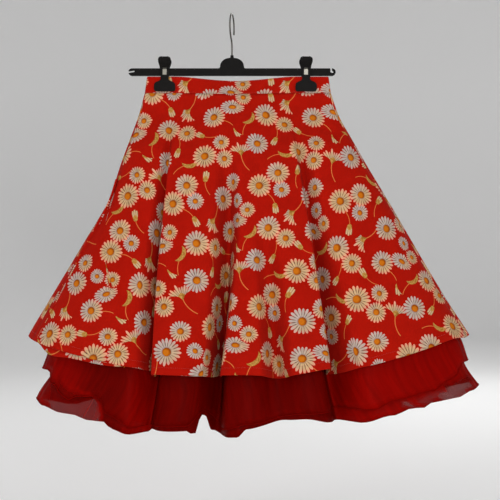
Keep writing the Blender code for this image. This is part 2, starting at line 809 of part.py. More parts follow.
def capsule(start, end, radius):
    """The outline of a slot with round ends."""
    lean = math.degrees(math.atan2(end[1] - start[1], end[0] - start[0]))
    return arc(start, radius, lean + 90.0, lean + 270.0, 6) + arc(end, radius, lean - 90.0, lean + 90.0, 6)


def cut(target, cutter, operation="DIFFERENCE"):
    """A Boolean modifier that uses a hidden cutter."""
    hide_cutter(cutter)
    modifier = target.modifiers.new(cutter.name, "BOOLEAN")
    modifier.operation = operation
    modifier.object = cutter


def rod(name, radius, length, sides, group):
    """A cylinder along its own Z axis."""
    mesh = bpy.data.meshes.new(name)
    builder = bmesh.new()
    bmesh.ops.create_cone(
        builder, cap_ends=True, segments=sides, radius1=radius, radius2=radius, depth=length
    )
    builder.to_mesh(mesh)
    builder.free()
    return add_object(name, mesh, group)


def block(name, size, group):
    """A box centred on its own origin."""
    mesh = bpy.data.meshes.new(name)
    builder = bmesh.new()
    bmesh.ops.create_cube(builder, size=1.0, matrix=Matrix.Diagonal((*size, 1.0)))
    builder.to_mesh(mesh)
    builder.free()
    return add_object(name, mesh, group)


def round_edges(target, width, angle):
    """A small chamfer on the edges sharper than an angle in degrees."""
    rounding = target.modifiers.new("Rounding", "BEVEL")
    rounding.width = width
    rounding.segments = 1
    rounding.limit_method = "ANGLE"
    rounding.angle_limit = math.radians(angle)


def bar_outline():
    """The bar with its round ends, and the boss and its pointed nub over the middle."""
    radius = (BAR_TOP_Z - BAR_BOTTOM_Z) / 2.0
    outline = arc((BAR_HALF_LENGTH - radius, BAR_BOTTOM_Z + radius), radius, -90.0, 90.0, 8)
    outline += arc((BOSS_HALF_WIDTH + BOSS_FILLET, BAR_TOP_Z + BOSS_FILLET), BOSS_FILLET, 270.0, 180.0, 3)
    foot = BAR_TOP_Z + BOSS_FILLET
    for x, rise in arc((0.0, 0.0), 1.0, 10.0, 80.0, 7):
        outline.append((BOSS_HALF_WIDTH * x**BOSS_FULLNESS, foot + (BOSS_TOP_Z - foot) * rise))
    outline += [(NUB_HALF_WIDTH, BOSS_TOP_Z), (NUB_TIP_HALF_WIDTH, NUB_TOP_Z)]
    return outline + [(-x, z) for x, z in reversed(outline)]


def make_bar(group, cutters, material):
    """Moulded bar with a loop notch at each end and the socket for the hook."""
    bar = plate("hanger_bar", bar_outline(), BAR_DEPTH, group, material)
    for notch in NOTCHES:
        outline = capsule((notch.x, notch.z), (notch.mouth_x, notch.mouth_z), notch.radius)
        cut(bar, plate(notch.name, outline, BAR_DEPTH * 2.0, cutters))
    bore = rod("hook_bore", HOOK_BORE_RADIUS, HOOK_BORE_DEPTH * 2.0, 16, cutters)
    bore.location = (0.0, 0.0, NUB_TOP_Z)
    cut(bar, bore)
    round_edges(bar, BAR_ROUNDING, 50.0)


def hook_route():
    """Points of the hook in its own plane: up from the boss and over the rail."""
    stem_bottom = NUB_TOP_Z - HOOK_BORE_DEPTH + SEAM_GAP
    centre = (0.0, HOOK_WIRE_RADIUS - HOOK_BEND_RADIUS)
    bend = arc(centre, HOOK_BEND_RADIUS, HOOK_BEND_START, HOOK_BEND_END, 16)
    return [(0.0, stem_bottom), *HOOK_STEM] + bend


def make_hook(group, material):
    """Steel wire hook, turned so that its opening faces the back."""
    curve = bpy.data.curves.new("hook", "CURVE")
    curve.dimensions = "3D"
    curve.bevel_depth = HOOK_WIRE_RADIUS
    curve.bevel_resolution = 2
    curve.use_fill_caps = True
    route = hook_route()
    spline = curve.splines.new("POLY")
    spline.points.add(len(route) - 1)
    for point, (out, z) in zip(spline.points, route):
        point.co = (-out * math.sin(HOOK_TURN), -out * math.cos(HOOK_TURN), z, 1.0)
    hook = mesh_from_curve(add_object("hook", curve, group, material), group)
    hook.data.shade_smooth()


def make_lever(name, clip_x, side, group, material):
    """One lever of a clip: handle, neck with its window, and wide jaw."""
    grid = []
    for row in LEVER_ROWS:
        grid.append([Vector((clip_x + row.half_width * c, side * row.out, row.z)) for c in LEVER_COLUMNS])
    mesh = bpy.data.meshes.new(name)
    builder = bmesh.new()
    rows = [[builder.verts.new(point) for point in line] for line in grid]
    for index, (upper, lower) in enumerate(zip(rows, rows[1:])):
        for column in range(len(LEVER_COLUMNS) - 1):
            if index == WINDOW_ROW and column == 1:
                continue
            builder.faces.new((upper[column], lower[column], lower[column + 1], upper[column + 1]))
    bmesh.ops.recalc_face_normals(builder, faces=builder.faces)
    builder.to_mesh(mesh)
    builder.free()
    lever = add_object(name, mesh, group, material)
    wall_maker = lever.modifiers.new("Wall", "SOLIDIFY")
    wall_maker.thickness = LEVER_WALL
    wall_maker.offset = 0.0
    wall_maker.use_even_offset = True
    round_edges(lever, LEVER_ROUNDING, 60.0)


def make_spring(name, clip_x, group, material):
    """Steel strip bent over the bar inside a clip, seen through the windows of both levers."""
    bend_z = SPRING_TOP_Z - SPRING_OUT
    path = [(-SPRING_OUT, SPRING_BOTTOM_Z)]
    path += [(y, z) for y, z in arc((0.0, bend_z), SPRING_OUT, 180.0, 0.0, 8)]
    path += [(SPRING_OUT, SPRING_BOTTOM_Z)]
    grid = []
    for x in (clip_x - SPRING_HALF_WIDTH, clip_x + SPRING_HALF_WIDTH):
        grid.append([Vector((x, y, z)) for y, z in path])
    spring = cloth(name, grid, SPRING_WALL, group, material)
    spring.modifiers["Wall"].offset = 0.0


def make_clips(group, plastic, steel):
    """Two clips that grip the waistband below the bar."""
    for side_name, clip_x in zip(("left", "right"), CLIP_X):
        make_lever("clip_" + side_name + "_front", clip_x, -1.0, group, plastic)
        make_lever("clip_" + side_name + "_back", clip_x, 1.0, group, plastic)
        make_spring("clip_" + side_name + "_spring", clip_x, group, steel)


def seam_frame(down):
    """Place, outward direction and downward direction on the centre back seam."""
    place = skirt_point(BACK_SEAM, down)
    fall = skirt_point(BACK_SEAM, down + SEAM_STEP) - place
    fall = (fall - ACROSS * fall.dot(ACROSS)).normalized()
    return place, ACROSS.cross(fall), fall


def facet_point(place, down):
    """A point on the flat facets between the skirt's own rows and columns."""
    row = 0
    while SKIRT_ROWS[row + 1] < down:
        row += 1
    share = (down - SKIRT_ROWS[row]) / (SKIRT_ROWS[row + 1] - SKIRT_ROWS[row])
    near = math.floor(place * STEPS_PER_FOLD + 0.001) / STEPS_PER_FOLD
    far = near + 1.0 / STEPS_PER_FOLD
    across = (place - near) * STEPS_PER_FOLD
    corners = [skirt_point(p, d) for d in SKIRT_ROWS[row:row + 2] for p in (near, far)]
    upper = corners[0].lerp(corners[1], across)
    lower = corners[2].lerp(corners[3], across)
    return upper.lerp(lower, share)


def make_zip_tape(group, material):
    """Tape of the concealed zip, behind the centre back seam."""
    rows = [down for down in (ZIP_TOP,) + SKIRT_ROWS[1:] if down * LENGTH_BACK < ZIP_LENGTH]
    rows.append(ZIP_LENGTH / LENGTH_BACK)
    column = 1.0 / STEPS_PER_FOLD
    grid = []
    for down in rows:
        seam = facet_point(BACK_SEAM, down)
        right = (facet_point(BACK_SEAM - column, down) - seam).normalized()
        left = (facet_point(BACK_SEAM + column, down) - seam).normalized()
        fall = facet_point(BACK_SEAM, down + SEAM_STEP / 2.0) - seam
        inward = (left - right).cross(fall).normalized() * (SKIRT_WALL + SEAM_GAP * 2.0)
        grid.append([seam + side * TAPE_HALF_WIDTH + inward for side in (right, Vector(), left)])
    cloth("zip_tape", grid, TAPE_WALL, group, material)


def make_zip_slider(group, cutters, material):
    """Slider on the seam, with the two ears and the pin that carry its pull tab."""
    place, outward, fall = seam_frame(SLIDER_DOWN)
    axes = Matrix((ACROSS, outward, -fall)).transposed().to_4x4()
    middle = place + outward * (SEAM_GAP + SLIDER_HEIGHT / 2.0)
    slider = block("zip_slider", (SLIDER_WIDTH, SLIDER_HEIGHT, SLIDER_LENGTH), group)
    slider.data.materials.append(material)
    slider.matrix_world = Matrix.Translation(middle) @ axes
    pin_place = middle + outward * (SLIDER_HEIGHT / 2.0 + PIN_HEIGHT) - fall * PIN_UP
    ear_reach = KNUCKLE_LENGTH / 2.0 + SEAM_GAP + EAR_WIDTH / 2.0
    for name, side in (("right_ear", 1.0), ("left_ear", -1.0)):
        ear = block(name, (EAR_WIDTH, EAR_HEIGHT, EAR_LENGTH), cutters)
        ear_place = pin_place + ACROSS * side * ear_reach + outward * (PIN_RADIUS * 2.0 - EAR_HEIGHT / 2.0)
        ear.matrix_world = Matrix.Translation(ear_place) @ axes
        cut(slider, ear, "UNION")
    pin = rod("slider_pin", PIN_RADIUS, ear_reach * 2.0, 10, cutters)
    pin.location = pin_place
    pin.rotation_euler = (0.0, math.pi / 2.0, 0.0)
    cut(slider, pin, "UNION")
    return pin_place, fall


def make_zip_pull(pin_place, fall, group, cutters, material):
    """Pull tab with a bored knuckle that swings on the slider's pin."""
    hinge = bpy.data.objects.new("zip_pull_hinge", None)
    group.objects.link(hinge)
    hinge.location = pin_place
    hinge.rotation_euler = (math.atan2(fall.y, -fall.z) - PULL_REST, 0.0, 0.0)
    half = KNUCKLE_LENGTH / 2.0
    outline = [(half, 0.0), (-half, 0.0), (-half, -PULL_NECK)]
    outline += arc((0.0, PULL_HALF_WIDTH - PULL_LENGTH), PULL_HALF_WIDTH, 180.0, 360.0, 10)
    outline.append((half, -PULL_NECK))
    pull = plate("zip_pull", outline, PULL_WALL, group, material)
    knuckle = rod("pull_knuckle", KNUCKLE_RADIUS, KNUCKLE_LENGTH, 14, cutters)
    bore = rod("pull_bore", KNUCKLE_BORE_RADIUS, KNUCKLE_LENGTH * 2.0, 12, cutters)
    for round_piece in (knuckle, bore):
        round_piece.rotation_euler = (0.0, math.pi / 2.0, 0.0)
    for piece in (pull, knuckle, bore):
        piece.parent = hinge
    cut(pull, knuckle, "UNION")
    cut(pull, bore)


def make_button(group, cutters, material):
    """Four-hole button on the lapped end of the waistband."""
    high, low = (band_point(CENTRE_BACK, share) for share in BUTTON_SPAN)
    outward = ACROSS.cross(low - high).normalized()
    middle = (high + low) / 2.0 + outward * (BUTTON_WALL / 2.0 + SEAM_GAP)
    axes = Matrix((ACROSS, outward.cross(ACROSS), outward)).transposed().to_4x4()
    frame = Matrix.Translation(middle) @ axes
    button = rod("band_button", BUTTON_RADIUS, BUTTON_WALL, 24, group)
    button.data.materials.append(material)
    button.matrix_world = frame
    round_edges(button, BUTTON_ROUNDING, 40.0)
    for number, (x, y) in enumerate(((-1, -1), (-1, 1), (1, -1), (1, 1))):
        hole = rod("button_hole_%d" % number, BUTTON_HOLE_RADIUS, BUTTON_WALL * 2.0, 8, cutters)
        spot = Vector((x, y, 0.0)) * BUTTON_HOLE_SPACING / 2.0
        hole.matrix_world = frame @ Matrix.Translation(spot)
        cut(button, hole)


def main():
    """Build the whole part."""
    clear_scene()
    group = make_collection("circle_skirt")
    cutters = make_collection("cutters")
    cotton = make_material("printed cotton", COLOURS["cotton"], 0.85)
    organza = make_material("nylon organza", COLOURS["organza"], 0.6)
    plastic = make_material("moulded plastic", COLOURS["plastic"], 0.45)
    steel = make_material("steel", COLOURS["steel"], 0.3, 1.0)
    zip_red = make_material("lacquered zip", COLOURS["zip"], 0.4)
    button_red = make_material("button resin", COLOURS["button"], 0.3)
    make_skirt(group, cotton)
    make_waistband(group, cotton)
    make_petticoat(group, organza)
    make_bar(group, cutters, plastic)
    make_hook(group, steel)
    make_clips(group, plastic, steel)
    make_zip_tape(group, zip_red)
    pin_place, fall = make_zip_slider(group, cutters, zip_red)
    make_zip_pull(pin_place, fall, group, cutters, zip_red)
    make_button(group, cutters, button_red)


main()
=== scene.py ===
"""Circle skirt over an organza petticoat, hung by its waistband from a clip hanger: the looks.

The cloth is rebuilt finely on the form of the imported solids, by the same ring of folds that they
were built from, and gets its print, weave, hems and stitches. The hanger's own pieces get their
finishes. Metres, +Z up, the origin at the inside top of the hook, the front facing -Y.
"""
import math
from collections import namedtuple
from contextlib import contextmanager

import bpy
import numpy as np
from bpy.props import FloatProperty, FloatVectorProperty, IntProperty, PointerProperty
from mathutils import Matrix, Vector


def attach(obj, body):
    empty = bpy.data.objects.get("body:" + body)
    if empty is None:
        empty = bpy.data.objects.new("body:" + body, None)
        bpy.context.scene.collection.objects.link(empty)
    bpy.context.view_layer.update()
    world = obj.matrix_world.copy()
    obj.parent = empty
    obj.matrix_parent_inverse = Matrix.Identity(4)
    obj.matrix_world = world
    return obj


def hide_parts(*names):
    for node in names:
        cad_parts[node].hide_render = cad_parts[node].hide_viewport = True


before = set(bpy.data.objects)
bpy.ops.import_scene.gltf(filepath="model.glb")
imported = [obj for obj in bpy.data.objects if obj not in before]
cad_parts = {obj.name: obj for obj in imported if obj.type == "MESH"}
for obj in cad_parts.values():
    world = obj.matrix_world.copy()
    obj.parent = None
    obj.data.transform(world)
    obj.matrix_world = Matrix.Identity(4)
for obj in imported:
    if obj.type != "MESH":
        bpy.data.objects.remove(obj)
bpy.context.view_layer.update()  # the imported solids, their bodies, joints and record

bl_info = {
    "name": "Circle skirt on a clip hanger",
    "version": (1, 0, 0),
    "blender": (4, 5, 0),
    "location": "View3D > Sidebar > Skirt",
    "description": "Makes the printed skirt, its organza petticoat and its clip hanger",
    "category": "Object",
}

# The waist seam and the skirt's length below it, as the solids have them
SKIRT_CENTRE_X = 0.0107
WAIST_Z = -0.1455
WAIST_SAG = 0.0035
LENGTH_LEFT = 0.498
LENGTH_FRONT = 0.521
LENGTH_RIGHT = 0.516
LENGTH_BACK = 0.524
BACK_LEFT_DROP = 0.016
SKIRT_WALL = 0.0012
SEAM_GAP = 0.0003

# The clips pinch the waist flat, it bows out between them, and below them it rounds out into an oval
CLIP_X = (-0.1246, 0.1370)
CLIP_HALF_JAW = 0.023
PINCHED_HALF_DEPTH = 0.0034
BULGE_POWER = 1.5
OVAL_FROM_DOWN = 0.24

# The waistband, a strip with rounded edges whose under end tucks in behind its lap at the centre back. Its
# solid has 64 steps round, and each is drawn as several here.
BAND_WALL = 0.0020
BAND_CLOTH_WALL = 0.0018
BAND_ROUNDING = 0.0007
BAND_HALF_WIDTH = 0.1683
BAND_TOP_Z = -0.1150
BAND_TOP_SAG = 0.0085
BAND_TOP_BULGE = 0.0050
BAND_OVERLAP = 0.024
BAND_TUCK = 0.028
BAND_STITCH_INSET = 0.0018
BAND_STEPS = 64
BAND_FINER = 5
BAND_ROWS = 9
LAP_CLEARANCE = 1.5 * SEAM_GAP
CENTRE_BACK = 1.5 * math.pi

# The zip's coil behind its tape, from one distance below the waist to another, with half the width of the
# strip of skirt that it follows, in folds, and the holes of the button
TAPE_WALL = 0.0010
ZIP_START = 0.014
ZIP_END = 0.180
ZIP_ROWS = 60
ZIP_HALF_STRIP = 0.02
ZIP_PITCH = 0.0012
COIL_LENGTH = 0.9 * ZIP_PITCH
COIL_WIDTH = 0.0034
COIL_HEIGHT = 0.0011
BUTTON_WALL = 0.0028
HOLE_SPACING = 0.0020

# Sewing: the pitch in stitch lengths, how proud a stitch stands in thread diameters, and the button's own
# stitches, in spaces between its holes and in thread diameters
STITCH_PITCH = 1.25
STITCH_PROUD = 0.25
BUTTON_STITCH = 1.4
BUTTON_THREAD = 1.6

# The skirt's turned-up hem: its gap in walls of cloth, where its stitches run as a share of its depth, and
# where the bottom of its bend lies as shares of the gap
HEM_GAP = 2.5
HEM_STITCH_UP = 0.85
HEM_BEND_IN = 0.5
HEM_BEND_DOWN = 0.35

# The petticoat's yoke, pinched with the waistband, and its rows
YOKE_PINCH = 0.45
YOKE_PINCH_DOWN = 0.10
YOKE_START = 0.006
YOKE_END = 0.55
YOKE_ROWS = 24
YOKE_COARSER = 4

# How the ruffles hang: from their seam they spread, swing a little at each fold and keep clear of the
# skirt's valleys, and the lower one lies inside the upper one and further in at the left side
RUFFLE_TOP = 0.5508
GATHER_SPAN = 0.13
LAYER_SPAN = 0.05
RECESS_SPAN = 0.30
LAYER_START = 0.0013
LAYER_GAP = 0.0030
SWINGS = 2.0
SWING_START = 0.65
SWING_SPAN = 0.5
UPPER_SWING = 0.007
LOWER_SWING = 0.008
LOWER_SHIFT = 0.25
UPPER_WIDER = 0.012
LOWER_WIDER = 0.009
UPPER_VALLEY_INSET = 0.0085
LOWER_VALLEY_INSET = 0.0140
LOWER_LEFT_INSET = 0.0185
FLARE_START = 1.12
FLARE_END = 1.24
FLARE_LEFT = 0.4
SIDE_POWER = 4
FOLD_FADE = 0.35
FOLD_FADE_SPAN = 0.35
UPPER_ROWS = 28
LOWER_ROWS = 34
ROLLED_LAYERS = 1.4

# How the skirt widens from the waist seam (down 0) to the hem (down 1) and on below it, how the
# petticoat's yoke hangs inside it, and how its ruffles spread from their gathered seam.
Section = namedtuple("Section", "down left right front back squareness")
SKIRT_SECTIONS = (
    Section(0.00, 0.1725, 0.1725, 0.0220, 0.0200, 2.6),
    Section(0.10, 0.1850, 0.1885, 0.0400, 0.0370, 2.5),
    Section(0.20, 0.2015, 0.2135, 0.0590, 0.0540, 2.4),
    Section(0.30, 0.2185, 0.2390, 0.0770, 0.0710, 2.3),
    Section(0.45, 0.2430, 0.2800, 0.1000, 0.0940, 2.2),
    Section(0.60, 0.2820, 0.3190, 0.1200, 0.1150, 2.2),
    Section(0.75, 0.3220, 0.3580, 0.1390, 0.1340, 2.2),
    Section(0.90, 0.3620, 0.3990, 0.1560, 0.1520, 2.2),
    Section(1.00, 0.3880, 0.4280, 0.1660, 0.1630, 2.2),
    Section(1.15, 0.4180, 0.4640, 0.1790, 0.1760, 2.2),
    Section(1.30, 0.4440, 0.4960, 0.1900, 0.1870, 2.2),
)
YOKE_SECTIONS = (
    Section(0.00, 0.1590, 0.1590, 0.0190, 0.0150, 2.6),
    Section(0.10, 0.1690, 0.1700, 0.0250, 0.0230, 2.5),
    Section(0.25, 0.1880, 0.1930, 0.0330, 0.0320, 2.4),
    Section(0.40, 0.2050, 0.2200, 0.0400, 0.0400, 2.3),
    Section(0.56, 0.2250, 0.2500, 0.0470, 0.0470, 2.2),
)
RUFFLE_SECTIONS = (
    Section(0.55, 0.2330, 0.2590, 0.0490, 0.0490, 2.2),
    Section(0.65, 0.2800, 0.3150, 0.1080, 0.1050, 2.2),
    Section(0.80, 0.3200, 0.3590, 0.1280, 0.1250, 2.2),
    Section(1.00, 0.3440, 0.4120, 0.1480, 0.1450, 2.2),
    Section(1.13, 0.3640, 0.4350, 0.1560, 0.1540, 2.2),
    Section(1.30, 0.3970, 0.4965, 0.1660, 0.1640, 2.2),
)

# The deep folds in order round the skirt: where the valley lies at the waist and at the hem and how
# far it bows between them, how far down it starts, its depth at the hem, its half width halfway
# down and at the hem, and how far its bottom leans along the cloth.
Fold = namedtuple("Fold", "face waist_x hem_x bow start depth mid_width hem_width lean")
FOLDS = (
    Fold("front", -0.101, -0.157, -0.011, 0.03, 0.094, 0.013, 0.014, 0.007),
    Fold("front", -0.013, -0.036, 0.013, 0.14, 0.120, 0.027, 0.016, 0.012),
    Fold("front", 0.032, 0.079, 0.002, 0.40, 0.062, 0.026, 0.030, 0.003),
    Fold("front", 0.103, 0.197, 0.005, 0.05, 0.098, 0.018, 0.026, -0.009),
    Fold("back", 0.152, 0.345, 0.000, 0.25, 0.074, 0.022, 0.024, 0.000),
    Fold("back", 0.096, 0.215, 0.004, 0.12, 0.104, 0.020, 0.019, 0.006),
    Fold("back", 0.044, 0.088, 0.000, 0.26, 0.086, 0.026, 0.026, -0.004),
    Fold("back", -0.024, -0.066, -0.003, 0.16, 0.108, 0.019, 0.018, 0.007),
    Fold("back", -0.084, -0.192, 0.000, 0.22, 0.092, 0.024, 0.022, -0.005),
    Fold("back", -0.134, -0.308, 0.000, 0.20, 0.078, 0.022, 0.026, 0.000),
)
LEFT_SEAM = -0.5
RIGHT_SEAM = 3.5
BACK_SEAM = 6.5
FULL_ROUND = LEFT_SEAM + len(FOLDS)

# What the folds share: how much of their depth lies in a wide tail and how wide that is, how fast they set
# in, how narrow they start, how far round the ring they reach in radians, and how close they may come to
# its two ends. The columns crowd into the valleys, and the ring's direction is taken over a small turn.
FOLD_TAIL = 0.26
TAIL_WIDTH = 0.030
FOLD_ONSET = 4.0
FOLD_START_WIDTH = 0.6
FOLD_REACH = 1.5
FOLD_LIMIT = 0.995
COLUMN_PINCH = 0.88
SMALL_TURN = 0.01

# How much shorter the skirt hangs than its ring gives, at places counted in folds round it
Trim = namedtuple("Trim", "place lift")
HEM_TRIMS = (
    Trim(-0.50, 0.0035),
    Trim(-0.33, 0.0050),
    Trim(-0.20, 0.0030),
    Trim(-0.04, 0.0045),
    Trim(0.10, -0.0030),
    Trim(0.40, -0.0040),
    Trim(0.60, 0.0000),
    Trim(0.86, 0.0055),
    Trim(1.46, 0.0060),
    Trim(1.80, 0.0020),
    Trim(2.37, 0.0005),
    Trim(2.67, 0.0045),
    Trim(2.85, 0.0000),
    Trim(3.20, 0.0000),
    Trim(3.30, 0.0050),
    Trim(3.36, 0.0090),
    Trim(3.41, 0.0120),
    Trim(3.44, 0.0115),
    Trim(3.47, 0.0075),
    Trim(3.50, 0.0055),
    Trim(3.80, 0.0000),
    Trim(9.00, 0.0000),
    Trim(9.50, 0.0035),
)

# The pleat at the left side seam, whose hem shows below the front's: how far down it opens, how far it
# reaches in folds and how evenly its columns lie there, how far its two layers lie inside the front panel,
# and how much lower its hem is at each share of that reach.
PLEAT_TOP = 0.35
PLEAT_REACH = 0.32
PLEAT_POWER = 0.8
PLEAT_NEAR = 0.0030
PLEAT_FAR = 0.0062
PLEAT_COLUMNS = 72
PleatHem = namedtuple("PleatHem", "reach drop")
PLEAT_HEM = (
    PleatHem(0.00, 0.0000),
    PleatHem(0.12, 0.0020),
    PleatHem(0.20, 0.0110),
    PleatHem(0.27, 0.0150),
    PleatHem(0.45, 0.0090),
    PleatHem(0.70, 0.0070),
    PleatHem(0.87, 0.0040),
    PleatHem(1.00, 0.0000),
)

# Where the petticoat's gathers bunch up and lie deeper: from one place to another, counted in folds, how
# much further in they lie and how many layers add up there (1 is the most). Each fades in and out. The
# layers also darken the organza's red there: partly the deeper red of layered cloth, partly painted shade
# of the places that the skirt shadows.
Gather = namedtuple("Gather", "start end recess layers")
GATHERS = (
    Gather(-0.40, -0.10, 0.003, 1.0),
    # The middle front: its layers paint shade where the skirt shadows the petticoat
    Gather(0.02, 2.98, 0.022, 1.0),
    Gather(4.10, 5.10, 0.010, 0.8),
    Gather(5.90, 7.90, 0.016, 1.0),
    Gather(8.40, 8.95, 0.006, 0.6),
)
GATHER_SLOPE = 0.12

# The hems of the petticoat's two front ruffles, from the left side to the right
HemPoint = namedtuple("HemPoint", "x z")
LOWER_HEM = (
    HemPoint(-0.400, -0.702),
    HemPoint(-0.362, -0.708),
    HemPoint(-0.345, -0.717),
    HemPoint(-0.305, -0.726),
    HemPoint(-0.285, -0.727),
    HemPoint(-0.254, -0.735),
    HemPoint(-0.222, -0.736),
    HemPoint(-0.214, -0.747),
    HemPoint(-0.178, -0.757),
    HemPoint(-0.150, -0.757),
    HemPoint(-0.140, -0.751),
    HemPoint(-0.080, -0.751),
    HemPoint(-0.072, -0.756),
    HemPoint(-0.062, -0.756),
    HemPoint(-0.056, -0.726),
    HemPoint(-0.048, -0.728),
    HemPoint(-0.036, -0.756),
    HemPoint(-0.020, -0.762),
    HemPoint(0.008, -0.760),
    HemPoint(0.026, -0.746),
    HemPoint(0.095, -0.732),
    HemPoint(0.130, -0.729),
    HemPoint(0.180, -0.738),
    HemPoint(0.222, -0.738),
    HemPoint(0.280, -0.723),
    HemPoint(0.318, -0.711),
    HemPoint(0.336, -0.711),
    HemPoint(0.355, -0.702),
    HemPoint(0.400, -0.697),
    HemPoint(0.430, -0.688),
    HemPoint(0.455, -0.682),
)
UPPER_HEM = (
    HemPoint(-0.400, -0.652),
    HemPoint(-0.331, -0.6525),
    HemPoint(-0.320, -0.676),
    HemPoint(-0.306, -0.692),
    HemPoint(-0.294, -0.701),
    HemPoint(-0.276, -0.694),
    HemPoint(-0.234, -0.692),
    HemPoint(-0.222, -0.722),
    HemPoint(-0.170, -0.745),
    HemPoint(-0.080, -0.741),
    HemPoint(-0.050, -0.719),
    HemPoint(-0.016, -0.748),
    HemPoint(0.026, -0.737),
    HemPoint(0.130, -0.720),
    HemPoint(0.245, -0.712),
    HemPoint(0.290, -0.695),
    HemPoint(0.353, -0.683),
    HemPoint(0.392, -0.665),
    HemPoint(0.420, -0.638),
    HemPoint(0.450, -0.635),
)

# Their hems at the back: the height, and how high, how many and how far along the waves round it are. The
# front's hem runs into them at the sides, and a few rounds find where it hangs.
BackHem = namedtuple("BackHem", "z wave waves shift")
UPPER_BACK_HEM = BackHem(-0.697, 0.004, 7.0, 0.0)
LOWER_BACK_HEM = BackHem(-0.722, 0.010, 5.0, 0.6)
BACK_HEM_REACH = 1.3
HEM_ROUNDS = 4

# Each lever of a clip, from the round end of its handle down to its jaw: height, half width and distance
# of its middle from the bar's middle plane. Its columns are shares of the half width, crowned in the middle.
LeverRow = namedtuple("LeverRow", "z half_width out")
LEVER_ROWS = (
    LeverRow(-0.0795, 0.0060, 0.0137),
    LeverRow(-0.0803, 0.0092, 0.0135),
    LeverRow(-0.0818, 0.0110, 0.0132),
    LeverRow(-0.0845, 0.0118, 0.0124),
    LeverRow(-0.0885, 0.0115, 0.0109),
    LeverRow(-0.0920, 0.0104, 0.0096),
    LeverRow(-0.0950, 0.0094, 0.0082),
    LeverRow(-0.0985, 0.0088, 0.0068),
    LeverRow(-0.1120, 0.0084, 0.0062),
    LeverRow(-0.1150, 0.0076, 0.0062),
    LeverRow(-0.1185, 0.0072, 0.0063),
    LeverRow(-0.1213, 0.0078, 0.0064),
    LeverRow(-0.1234, 0.0100, 0.0063),
    LeverRow(-0.1250, 0.0144, 0.0062),
    LeverRow(-0.1266, 0.0176, 0.0061),
    LeverRow(-0.1292, 0.0193, 0.0056),
    LeverRow(-0.1340, 0.0199, 0.0053),
    LeverRow(-0.1395, 0.0197, 0.0050),
    LeverRow(-0.1418, 0.0184, 0.0050),
    LeverRow(-0.1428, 0.0158, 0.0050),
)
LEVER_COLUMNS = (-1.0, -0.92, -0.72, -0.46, 0.0, 0.46, 0.72, 0.92, 1.0)
LEVER_WALL = 0.0024
LEVER_CROWN = 0.0005
LEVER_ROUNDING = 0.0006
WINDOW_TOP = -0.0985
WINDOW_BOTTOM = -0.1120
WINDOW_HALF_WIDTH = 0.0042

# Drag lines and small troughs in the skirt: the side they lie on, where each starts and ends, how far
# it bows to the right, its half width and its depth (a ridge where that is negative).
Crease = namedtuple("Crease", "face x z to_x to_z bow width depth")
CREASES = (
    Crease("front", -0.124, -0.168, -0.142, -0.200, 0.002, 0.0055, 0.0030),
    Crease("front", -0.140, -0.190, -0.172, -0.250, -0.003, 0.0100, 0.0032),
    Crease("front", -0.089, -0.184, -0.104, -0.216, 0.001, 0.0050, 0.0026),
    Crease("front", 0.162, -0.204, 0.178, -0.222, 0.000, 0.0060, 0.0026),
    Crease("front", 0.176, -0.206, 0.192, -0.236, 0.002, 0.0075, 0.0030),
    Crease("front", -0.060, -0.180, -0.062, -0.330, -0.004, 0.0160, 0.0028),
    Crease("front", 0.060, -0.170, 0.056, -0.300, 0.003, 0.0150, 0.0024),
    Crease("front", -0.190, -0.330, -0.232, -0.560, 0.006, 0.0200, 0.0036),
    Crease("front", 0.246, -0.360, 0.308, -0.600, -0.006, 0.0220, 0.0036),
    Crease("front", -0.086, -0.420, -0.088, -0.640, 0.004, 0.0180, 0.0030),
    Crease("front", 0.132, -0.430, 0.142, -0.640, -0.003, 0.0170, 0.0030),
    Crease("back", -0.118, -0.170, -0.136, -0.214, -0.002, 0.0070, 0.0030),
    Crease("back", 0.128, -0.168, 0.150, -0.222, 0.002, 0.0080, 0.0032),
    Crease("back", -0.050, -0.190, -0.056, -0.300, 0.003, 0.0150, 0.0026),
    Crease("back", 0.070, -0.190, 0.084, -0.330, 0.003, 0.0160, 0.0028),
    Crease("back", -0.236, -0.400, -0.262, -0.610, 0.005, 0.0200, 0.0036),
    Crease("back", 0.272, -0.380, 0.300, -0.610, -0.005, 0.0200, 0.0034),
    Crease("back", -0.126, -0.420, -0.136, -0.630, 0.003, 0.0180, 0.0030),
    Crease("back", 0.144, -0.400, 0.154, -0.640, 0.003, 0.0180, 0.0030),
)

# Sharp creases pressed into the organza, as the drag lines above
ORGANZA_CREASES = (
    Crease("front", 0.332, -0.616, 0.362, -0.664, 0.000, 0.0050, -0.0030),
    Crease("front", 0.362, -0.664, 0.428, -0.680, 0.004, 0.0060, 0.0030),
    Crease("front", 0.420, -0.646, 0.430, -0.684, 0.001, 0.0040, 0.0026),
    Crease("front", 0.270, -0.640, 0.300, -0.716, -0.003, 0.0080, 0.0030),
    Crease("front", 0.212, -0.660, 0.222, -0.728, 0.002, 0.0070, -0.0026),
    Crease("front", -0.196, -0.652, -0.230, -0.734, -0.003, 0.0040, -0.0030),
    Crease("front", -0.296, -0.640, -0.318, -0.706, 0.004, 0.0060, 0.0030),
    Crease("front", -0.262, -0.650, -0.266, -0.716, -0.002, 0.0050, 0.0026),
    Crease("front", -0.100, -0.664, -0.112, -0.748, 0.002, 0.0080, 0.0024),
    Crease("front", 0.062, -0.664, 0.078, -0.736, -0.002, 0.0090, 0.0024),
    Crease("back", 0.300, -0.630, 0.330, -0.706, 0.003, 0.0060, 0.0030),
    Crease("back", 0.150, -0.640, 0.144, -0.712, -0.002, 0.0080, -0.0028),
    Crease("back", -0.130, -0.640, -0.150, -0.716, 0.003, 0.0060, 0.0030),
    Crease("back", -0.280, -0.630, -0.312, -0.700, -0.002, 0.0050, -0.0028),
)

